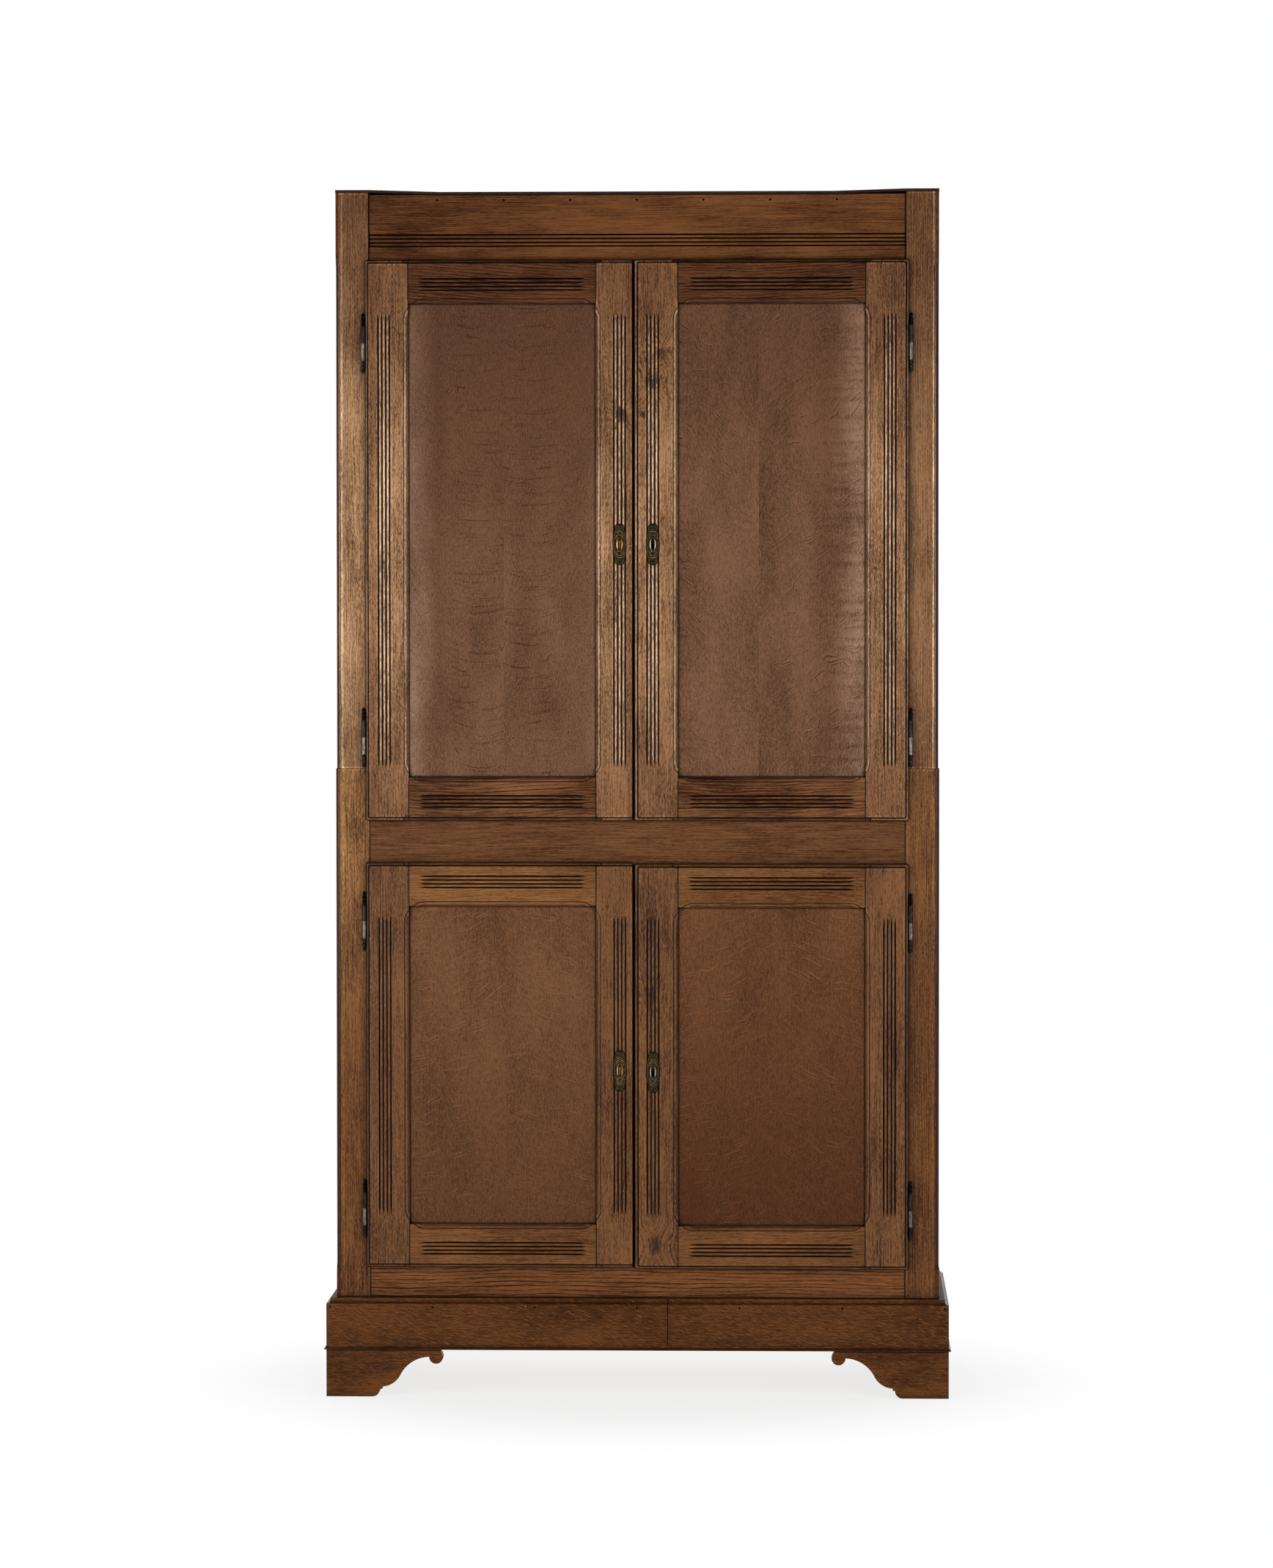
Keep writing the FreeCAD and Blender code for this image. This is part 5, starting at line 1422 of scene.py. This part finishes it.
@dataclass
class Doors:
    """The four framed doors: stiles, rails and figured panels."""

    paint: Paint
    stile: OakFinish = field(default_factory=lambda: OakFinish(
        Lay.UPRIGHT_FRONT, GOLDEN, ring_pitch=0.0060, ring_depth=0.14, streak_length=0.060,
        streak_width=0.0014, streak_depth=0.36, speckle_rate=150.0, pore_length=0.012,
        pore_depth=0.24, gloss=0.20, glint_depth=0.55))
    rail: OakFinish = field(default_factory=lambda: OakFinish(
        Lay.LEVEL_FRONT, RUSSET, Figure.CATHEDRAL, ring_pitch=0.0055, ring_bend=0.045,
        streak_length=0.035, gloss=0.12))
    # Depth bands of the reed crests that get a painted highlight.
    crest_highlights: tuple[CrestHighlight, ...] = (CrestHighlight(-0.24395, -0.2433), CrestHighlight(-0.2428, -0.2415),
                             CrestHighlight(-0.2402, -0.2390, 0.4))
    panel: OakFinish = field(default_factory=lambda: OakFinish(
        Lay.UPRIGHT_FRONT, PLUM, ring_pitch=0.006, ring_depth=0.05, streak_depth=0.22,
        streak_length=0.010, streak_width=0.0014, speckle_depth=0.32, pore_depth=0.16,
        tone_depth=0.24, roughness=0.50, gloss=0.12, wear=0.2, dusk=0.14,
        speckle_rate=330.0))

    def build(self) -> None:
        """Dress every door, frames first."""
        self._frames()
        self._panels()

    def _frames(self) -> None:
        """Dress the stiles and the rails."""
        # Painted glow at mid height on each upper stile.
        glow = {"upper_left_door_hinge_stile": 0.74, "upper_left_door_meeting_stile": 0.72,
                "upper_right_door_meeting_stile": 0.56, "upper_right_door_hinge_stile": 0.55}
        # Painted shade down one side of two stiles.
        sides = {"upper_left_door_hinge_stile": (PaintedLight(-0.484, 0.024, -0.42, False),),
                 "upper_left_door_meeting_stile": (PaintedLight(-0.008, 0.016, -0.45, False),)}
        knots = {
            "upper_left_door_meeting_stile": (Knot(-0.027, 1.791, 0.010, 0.013, 0.9),),
            "upper_right_door_meeting_stile": (Knot(0.029, 1.849, 0.012, 0.016),
                                               Knot(0.047, 1.902, 0.013, 0.012, 0.45),
                                               Knot(0.012, 1.79, 0.004, 0.006)),
            "lower_right_door_meeting_stile": (Knot(0.033, 0.278, 0.013, 0.016, 0.55),
                                               Knot(0.025, 0.735, 0.009, 0.020, 0.5)),
        }
        for level in LEVELS:
            upper = level == "upper"
            for side in SIDES:
                door = f"{level}_{side}_door"
                edges = self.stile_edges(door, side)
                low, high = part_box(f"{door}_panel")
                for kind, edge in zip(("hinge_stile", "meeting_stile"), edges):
                    name = f"{door}_{kind}"
                    painted_light = (PaintedLight(1.53, 0.62, glow[name]), *sides.get(name, ())) if upper else ()
                    self.paint.dress([name], replace(
                        self.stile, tone=GOLDEN if upper else BROWN, painted_light=painted_light,
                        crest_highlights=self.crest_highlights if upper else (), wear=0.6 if upper else 0.3,
                        speckle_depth=0.42 if upper else 0.34,
                        tone_depth=0.22 if upper else 0.26,
                        knots=knots.get(name, ()),
                        seams=(Seam(edge, high=low.z + 0.001), Seam(edge, low=high.z - 0.001))),
                        "stile_oak")
                self.paint.dress([f"{door}_rails"], replace(
                    self.rail, heart_along=sum(edges) / 2, tone=RUSSET if upper else CHESTNUT,
                    ring_depth=0.66 if upper else 0.22, tone_depth=0.42 if upper else 0.22,
                    streak_depth=0.28 if upper else 0.20, wear=0.2,
                    # Painted shade: upper rails darker towards the top, lower rails towards the
                    # bottom.
                    painted_light=(PaintedLight(2.07, 0.5, -0.5),) if upper else (PaintedLight(0.24, 0.4, -0.2),),
                    seams=tuple(Seam(edge) for edge in edges)), "rail_oak")

    def _panels(self) -> None:
        """Dress the four figured panels."""
        # Painted light on the panels: shade darker towards the top of the upper panels and the
        # bottom of the lower ones, pale highlight bands near the outer edges and dark bands beside
        # them.
        curly = replace(self.panel, smile_depth=0.38, fleck_depth=0.20, fleck_tilt=1.2,
                        book_joint=-0.2423, painted_light=(
                            PaintedLight(2.05, 0.75, -0.50), PaintedLight(-0.43, 0.075, 0.36, False),
                            PaintedLight(-0.362, 0.022, -0.18, False), PaintedLight(-0.06, 0.05, 0.08, False)))
        self.paint.dress(["upper_left_door_panel"], curly, "curly_panel")
        flecked = replace(self.panel, fleck_depth=0.48, fleck_flow=0.46,
                          fleck_share=0.40, fleck_radius=0.28, fleck_patch=0.33,
                          fleck_size=(0.0050, 0.044),
                          fleck_pair=(1.25, 1.15), book_joint=0.2217)
        self.paint.dress(["upper_right_door_panel"], replace(
            flecked, curl_depth=0.18, curl_zone=(0.09, 0.17), painted_light=(
                PaintedLight(2.05, 0.5, -0.30), PaintedLight(0.43, 0.085, 0.36, False),
                PaintedLight(0.345, 0.05, -0.16, False))), "flecked_panel")
        tawny = replace(flecked, tone=TAWNY, fleck_flow=-0.24, fleck_depth=0.40, fleck_sway=0.06,
                        fleck_pair=(1.5, 0.6), tone_depth=0.20)
        self.paint.dress(["lower_left_door_panel"], replace(
            tawny, book_joint=-0.239, smile_depth=-0.20, smile_bend=4.0, fleck_depth=0.28,
            painted_light=(PaintedLight(0.28, 0.55, -0.35),)), "flecked_panel")
        self.paint.dress(["lower_right_door_panel"], replace(
            tawny, tone=RUST, book_joint=0.2571, painted_light=(PaintedLight(0.28, 0.60, -0.60),)),
            "flecked_panel")

    @staticmethod
    def stile_edges(door: str, side: str) -> tuple[float, float]:
        """Where the rails' shoulders meet the stiles.

        Args:
            door: The door's name.
            side: The side it hangs on.

        Returns:
            The X of the inner edges of the hinge and the meeting stile.
        """
        hinge, meeting = (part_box(f"{door}_{kind}") for kind in ("hinge_stile", "meeting_stile"))
        if side == "left":
            return hinge[1].x, meeting[0].x
        return hinge[0].x, meeting[1].x


@dataclass
class Case:
    """The carcass: posts, rails, frieze, side frames, floors, shelves and back."""

    paint: Paint
    post: OakFinish = field(default_factory=lambda: OakFinish(
        Lay.UPRIGHT_FRONT, HONEY, ring_pitch=0.0042, ring_depth=0.20, streak_length=0.070,
        streak_width=0.0014, streak_depth=0.26, speckle_depth=0.54, speckle_rate=150.0,
        flank_shade=0.85, pore_length=0.012, pore_depth=0.20, tone_depth=0.26,
        gloss=0.18, glint_depth=0.50))
    rail: OakFinish = field(default_factory=lambda: OakFinish(
        Lay.LEVEL_FRONT, UMBER, ring_pitch=0.0040, ring_depth=0.16, streak_length=0.045,
        streak_depth=0.30, tone_depth=0.12, gloss=0.10))
    inner: OakFinish = field(default_factory=lambda: OakFinish(
        Lay.LEVEL_TOP, BARE, Figure.CATHEDRAL, ring_pitch=0.007, ring_depth=0.30,
        ring_bend=0.02, roughness=0.65, gloss=0.3, board_width=0.14, wear=0.12,
        outline=1.0))

    def build(self) -> None:
        """Dress the whole carcass, front first."""
        self._front_posts()
        self._front_rails()
        self._outside()
        self._inside()

    def _front_posts(self) -> None:
        """Dress the four front posts, each with its own grain, painted glow and painted highlight
        and shade at its rounded corner.
        """
        # Painted glow at mid height, strongest on the left posts.
        glow = {"upper_left": PaintedLight(1.55, 0.68, 1.05), "upper_right": PaintedLight(1.55, 0.68, 0.26),
                "lower_left": PaintedLight(1.07, 0.45, 0.62), "lower_right": PaintedLight(1.07, 0.45, 0.14)}
        arris_highlight = {"upper_left": 0.35, "upper_right": 1.0, "lower_left": 0.2, "lower_right": 0.1}
        edge = self._post_edge()
        frieze, middle, bottom = (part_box(name) for name in
                                  ("frieze_board", "middle_rail", "bottom_rail"))
        for place, light_band in glow.items():
            right, upper = place.endswith("right"), place.startswith("upper")
            hand = 1 if right else -1
            x = hand * edge
            seams = (Seam(x, low=frieze[0].z), Seam(x, middle[0].z, middle[1].z),
                     Seam(x, bottom[0].z, bottom[1].z))
            # Painted highlight along the arris and painted shade on the rounded corner beside it.
            painted_edge_light = (PaintedLight(0.5386 if right else -0.5372, 0.0030, arris_highlight[place], False),
                    PaintedLight(hand * 0.5468, 0.0070, -1.3, False))
            self.paint.dress([f"{place}_front_post"], replace(
                self.post, tone=HONEY if upper else AMBER, speckle_depth=0.32, streak_depth=0.36,
                ring_depth=0.50 if right else 0.20, ring_width=0.40 if right else 0.55,
                ring_bend=0.004, painted_light=(light_band, *painted_edge_light), seams=seams), "post_oak")

    def _front_rails(self) -> None:
        """Dress the frieze and the two rails between the posts."""
        dress = self.paint.dress
        edge = self._post_edge()
        shoulders = (Seam(-edge), Seam(edge))
        dress(["frieze_board"], replace(self.rail, streak_depth=0.34, tone_depth=0.34,
                                        streak_length=0.07, streak_width=0.0014,
                                        ring_depth=0.22, ring_width=0.35, wear=0.25,
                                        seams=shoulders), "frieze_oak")
        dress(["middle_rail"], replace(self.rail, tone=COCOA, seams=shoulders), "rail_oak")
        dress(["bottom_rail"], replace(
            self.rail, tone=SIENNA, figure=Figure.CATHEDRAL, ring_pitch=0.0072, ring_depth=1.25,
            ring_width=0.36, ring_bend=0.034, cone=0.02, heart=2.9, lift=0.04, seams=shoulders),
            "bottom_rail_oak")

    @staticmethod
    def _post_edge() -> float:
        """The X of the right front post's inner edge."""
        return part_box("upper_right_front_post")[0].x

    def _outside(self) -> None:
        """Dress the cover, the back posts and the side frames."""
        dress = self.paint.dress
        dress(["top_cover_board"], replace(self.rail, lay=Lay.LEVEL_TOP, tone=SOOTY, wear=0.1),
              "cover_oak")
        dress(["back_posts"], replace(self.post, tone=UMBER), "post_oak")
        dress(["side_rails"], replace(self.rail, lay=Lay.LEVEL_SIDE, tone=RUSSET), "side_oak")
        dress(["side_panels"], replace(
            self.rail, lay=Lay.UPRIGHT_SIDE, tone=RUSSET, fleck_depth=0.2, fleck_tilt=0.9,
            ring_depth=0.08), "side_panel_oak")

    def _inside(self) -> None:
        """Dress the dry wood of the back, the floors, the shelves and what carries them."""
        dress = self.paint.dress
        dress(["back_rails"], replace(self.inner, lay=Lay.LEVEL_FRONT), "inner_oak")
        dress(["back_boards"], replace(self.inner, lay=Lay.UPRIGHT_FRONT, board_width=0.16),
              "inner_oak")
        dress(["roof_board", "floor_boards", "shelves"], self.inner, "inner_oak")
        dress(["board_bearers"], replace(self.inner, lay=Lay.LEVEL_SIDE, board_width=0.0),
              "inner_oak")
        dress(["corner_blocks"], replace(self.inner, lay=Lay.UPRIGHT_FRONT, board_width=0.0),
              "inner_oak")


@dataclass
class Plinth:
    """The plinth, its bead and the scrolled bracket feet."""

    paint: Paint
    joint: float = 0.056
    board: OakFinish = field(default_factory=lambda: OakFinish(
        Lay.LEVEL_FRONT, SMOKED, ring_pitch=0.006, ring_depth=0.07, streak_depth=0.24,
        speckle_depth=0.24, pore_depth=0.20, tone_depth=0.22, fleck_depth=1.1, outline=0.35,
        fleck_tilt=1.95, fleck_sway=0.014, fleck_size=(0.0048, 0.024), fleck_share=0.75,
        fleck_patch=0.0, fleck_pair=(1.0, 0.25), speck_share=0.25, gloss=0.10, wear=0.12))

    def build(self) -> None:
        """Dress the plinth and the feet."""
        dress = self.paint.dress
        dress(["plinth_front_boards"], replace(self.board, seams=(Seam(self.joint),)),
              "plinth_oak")
        dress(["plinth_side_boards"], replace(self.board, lay=Lay.LEVEL_SIDE), "plinth_oak")
        dress(["plinth_bead"], replace(self.board, fleck_depth=0.05, speck_share=0.0,
                                       wear=0.4), "bead_oak")
        # Painted shade on the feet, darker towards the floor.
        dress(["bracket_feet"], replace(self.board, fleck_depth=0.40, tone_depth=0.40,
                                        painted_light=(PaintedLight(0.04, 0.2, -0.08),)), "foot_oak")


@dataclass
class Ironwork:
    """Hinges, locks, bolts and nails."""

    paint: Paint
    hinge_middles: tuple[float, ...] = (1.204, 1.920, 0.3428, 0.8678)
    lower_half: MetalFinish = field(default_factory=lambda: MetalFinish(
        "948f86", "544e48", "14110f", roughness=0.36, rub=0.7, streaked=True))
    upper_half: MetalFinish = field(default_factory=lambda: MetalFinish(
        "4f4a45", "26221f", "0c0a09", roughness=0.45, rub=0.5, streaked=True))
    rough: MetalFinish = field(default_factory=lambda: MetalFinish(
        "6d665f", "3a342f", "171310", roughness=0.55, rub=0.4))
    black: MetalFinish = field(default_factory=lambda: MetalFinish(
        "15110e", "0a0806", "050403", roughness=0.7, rub=0.2))

    def build(self) -> None:
        """Dress every piece of iron."""
        dress = self.paint.dress
        dress(["hinge_pintles"], replace(self.lower_half, middles=self.hinge_middles),
              "hinge_steel")
        for level in LEVELS:
            for side in SIDES:
                dress([f"{level}_{side}_door_hinge_leaves"],
                      replace(self.upper_half, middles=self.hinge_middles), "hinge_iron")
            dress([f"{level}_right_door_lock_case", f"{level}_right_door_lock_bolt",
                   f"{level}_left_door_keeper", f"{level}_left_door_bolt_guides",
                   f"{level}_left_door_top_bolt", f"{level}_left_door_bottom_bolt"],
                  self.rough, "lock_iron")
        dress(["nails"], self.black, "nail_iron")


@dataclass
class Brassware:
    """The four keyhole plates, real ones on the right doors and blind ones on the left."""

    golden: PlateFinish = field(default_factory=lambda: PlateFinish("c4a56b"))
    grey: PlateFinish = field(default_factory=lambda: PlateFinish(
        "b9ac97", body="4f4130", crest_highlight="86704f", floor="0a0806"))
    pin: MetalFinish = field(default_factory=lambda: MetalFinish(
        "4a423a", "241f1b", "0e0b0a", roughness=0.45, rub=0.4))

    def build(self) -> None:
        """Make the plates and their pins."""
        iron = self.pin.build("pin_iron", 901)
        number = 0
        for level in LEVELS:
            for side in SIDES:
                number += 1
                door = f"{level}_{side}_door"
                node = f"{door}_escutcheon"
                low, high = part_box(node)
                middle = ((low.x + high.x) / 2, (low.z + high.z) / 2)
                finish = self.grey if side == "right" else self.golden
                brass = finish.build(f"plate_brass_{number}", 910 + number, middle)
                KeyPlate(node, door, side == "right").build(brass, iron)


@dataclass
class Studio:
    """A plain pale floor, soft lamps, a light room and the camera."""

    camera_place: Vector = field(default_factory=lambda: Vector((0.329, -10.160, 1.455)))
    camera_turn: tuple[float, float, float] = (90 - 1.935, -0.034, 1.903)
    lens: float = 125.37
    floor_half: float = 30.0
    front_light: float = 0.10
    lamp_target: Vector = field(default_factory=lambda: Vector((0.0, -0.2, 1.32)))
    lamp_size: tuple[float, float] = (1.0, 1.7)

    def build(self) -> None:
        """Set the whole studio up."""
        self._camera()
        self._room()
        self._floor()
        self._lamp("left_lamp", Vector((-1.75, -2.3, 1.42)), 36.0)
        self._lamp("right_lamp", Vector((1.70, -2.3, 1.42)), 31.0)
        scene = bpy.context.scene
        scene.view_settings.view_transform = "Standard"
        scene.view_settings.look = "None"

    def _camera(self) -> None:
        """Place the camera and hand it to the scene."""
        lens = bpy.data.cameras.new("camera")
        lens.sensor_fit = "VERTICAL"
        lens.sensor_height = 36.0
        lens.lens = self.lens
        lens.clip_end = 200.0
        camera = bpy.data.objects.new("camera", lens)
        bpy.context.scene.collection.objects.link(camera)
        camera.location = self.camera_place
        tilt, roll, turn = (math.radians(angle) for angle in self.camera_turn)
        base = Euler((tilt, 0.0, turn), "XYZ").to_matrix()
        spin = Euler((0.0, 0.0, roll), "XYZ").to_matrix()
        camera.rotation_euler = (base @ spin).to_euler()
        bpy.context.scene.camera = camera

    def _room(self) -> None:
        """Light the room: white behind the piece and dimmer in front of it."""
        world = bpy.data.worlds.new("room")
        bpy.context.scene.world = world
        world.use_nodes = True
        tree = world.node_tree
        tree.nodes.clear()
        way = tree.nodes.new("ShaderNodeTexCoord")
        parts = tree.nodes.new("ShaderNodeSeparateXYZ")
        shade = tree.nodes.new("ShaderNodeMapRange")
        shade.interpolation_type = "SMOOTHSTEP"
        for place, number in enumerate((-0.10, 0.30, self.front_light, 1.0), start=1):
            shade.inputs[place].default_value = number
        glow = tree.nodes.new("ShaderNodeBackground")
        glow.inputs["Color"].default_value = (1.0, 1.0, 1.0, 1.0)
        output = tree.nodes.new("ShaderNodeOutputWorld")
        tree.links.new(way.outputs["Generated"], parts.inputs[0])
        tree.links.new(parts.outputs[1], shade.inputs[0])
        tree.links.new(shade.outputs[0], glow.inputs["Strength"])
        tree.links.new(glow.outputs[0], output.inputs[0])

    def _floor(self) -> None:
        """Lay the pale floor, which melts into the white room behind."""
        half = self.floor_half
        shape = bmesh.new()
        corners = [shape.verts.new((x, y, 0.0)) for x, y in
                   ((-half, -half), (half, -half), (half, half), (-half, half))]
        shape.faces.new(corners)
        mesh = bpy.data.meshes.new("floor")
        shape.to_mesh(mesh)
        shape.free()
        floor = bpy.data.objects.new("floor", mesh)
        bpy.context.scene.collection.objects.link(floor)
        pen = Graph("pale_floor")
        x, y, _ = pen.split(pen.place())
        fine = pen.noise(pen.place(), (3.0, 3.0, 3.0), 3.0)
        melt = pen.span(pen.reach(x, y), 0.45, 0.95, 0.78, 1.0)
        paint = pen.add("ShaderNodeBsdfDiffuse")
        pen.feed(paint.inputs["Color"],
                 pen.mix(fine, (0.90, 0.90, 0.89, 1.0), (0.93, 0.93, 0.925, 1.0)))
        glow = pen.add("ShaderNodeEmission")
        glow.inputs["Color"].default_value = (1.0, 1.0, 1.0, 1.0)
        glow.inputs["Strength"].default_value = 1.0
        blend = pen.add("ShaderNodeMixShader")
        pen.feed(blend.inputs[0], pen.times(melt, pen.span(y, -3.2, -1.9)))
        pen.tree.links.new(paint.outputs[0], blend.inputs[1])
        pen.tree.links.new(glow.outputs[0], blend.inputs[2])
        output = pen.add("ShaderNodeOutputMaterial")
        pen.tree.links.new(blend.outputs[0], output.inputs[0])
        mesh.materials.append(pen.material)

    def _lamp(self, name: str, place: Vector, power: float) -> None:
        """Hang one soft lamp that looks at the piece.

        Args:
            name: The lamp's name.
            place: Where it hangs.
            power: Its power in watts.
        """
        light = bpy.data.lights.new(name, "AREA")
        light.shape = "RECTANGLE"
        light.size, light.size_y = self.lamp_size
        light.energy = power
        lamp = bpy.data.objects.new(name, light)
        bpy.context.scene.collection.objects.link(lamp)
        lamp.location = place
        lamp.rotation_euler = (self.lamp_target - place).to_track_quat("-Z", "Y").to_euler()
        lamp.visible_camera = False


def main() -> None:
    """Build the studio and every sub-assembly."""
    logging.basicConfig(level=logging.INFO, format="%(message)s")
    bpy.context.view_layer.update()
    Studio().build()
    paint = Paint()
    for assembly in (Case(paint), Doors(paint), Plinth(paint), Ironwork(paint), Brassware()):
        assembly.build()
        LOG.info("%s done", type(assembly).__name__)


if __name__ == "__main__":
    main()
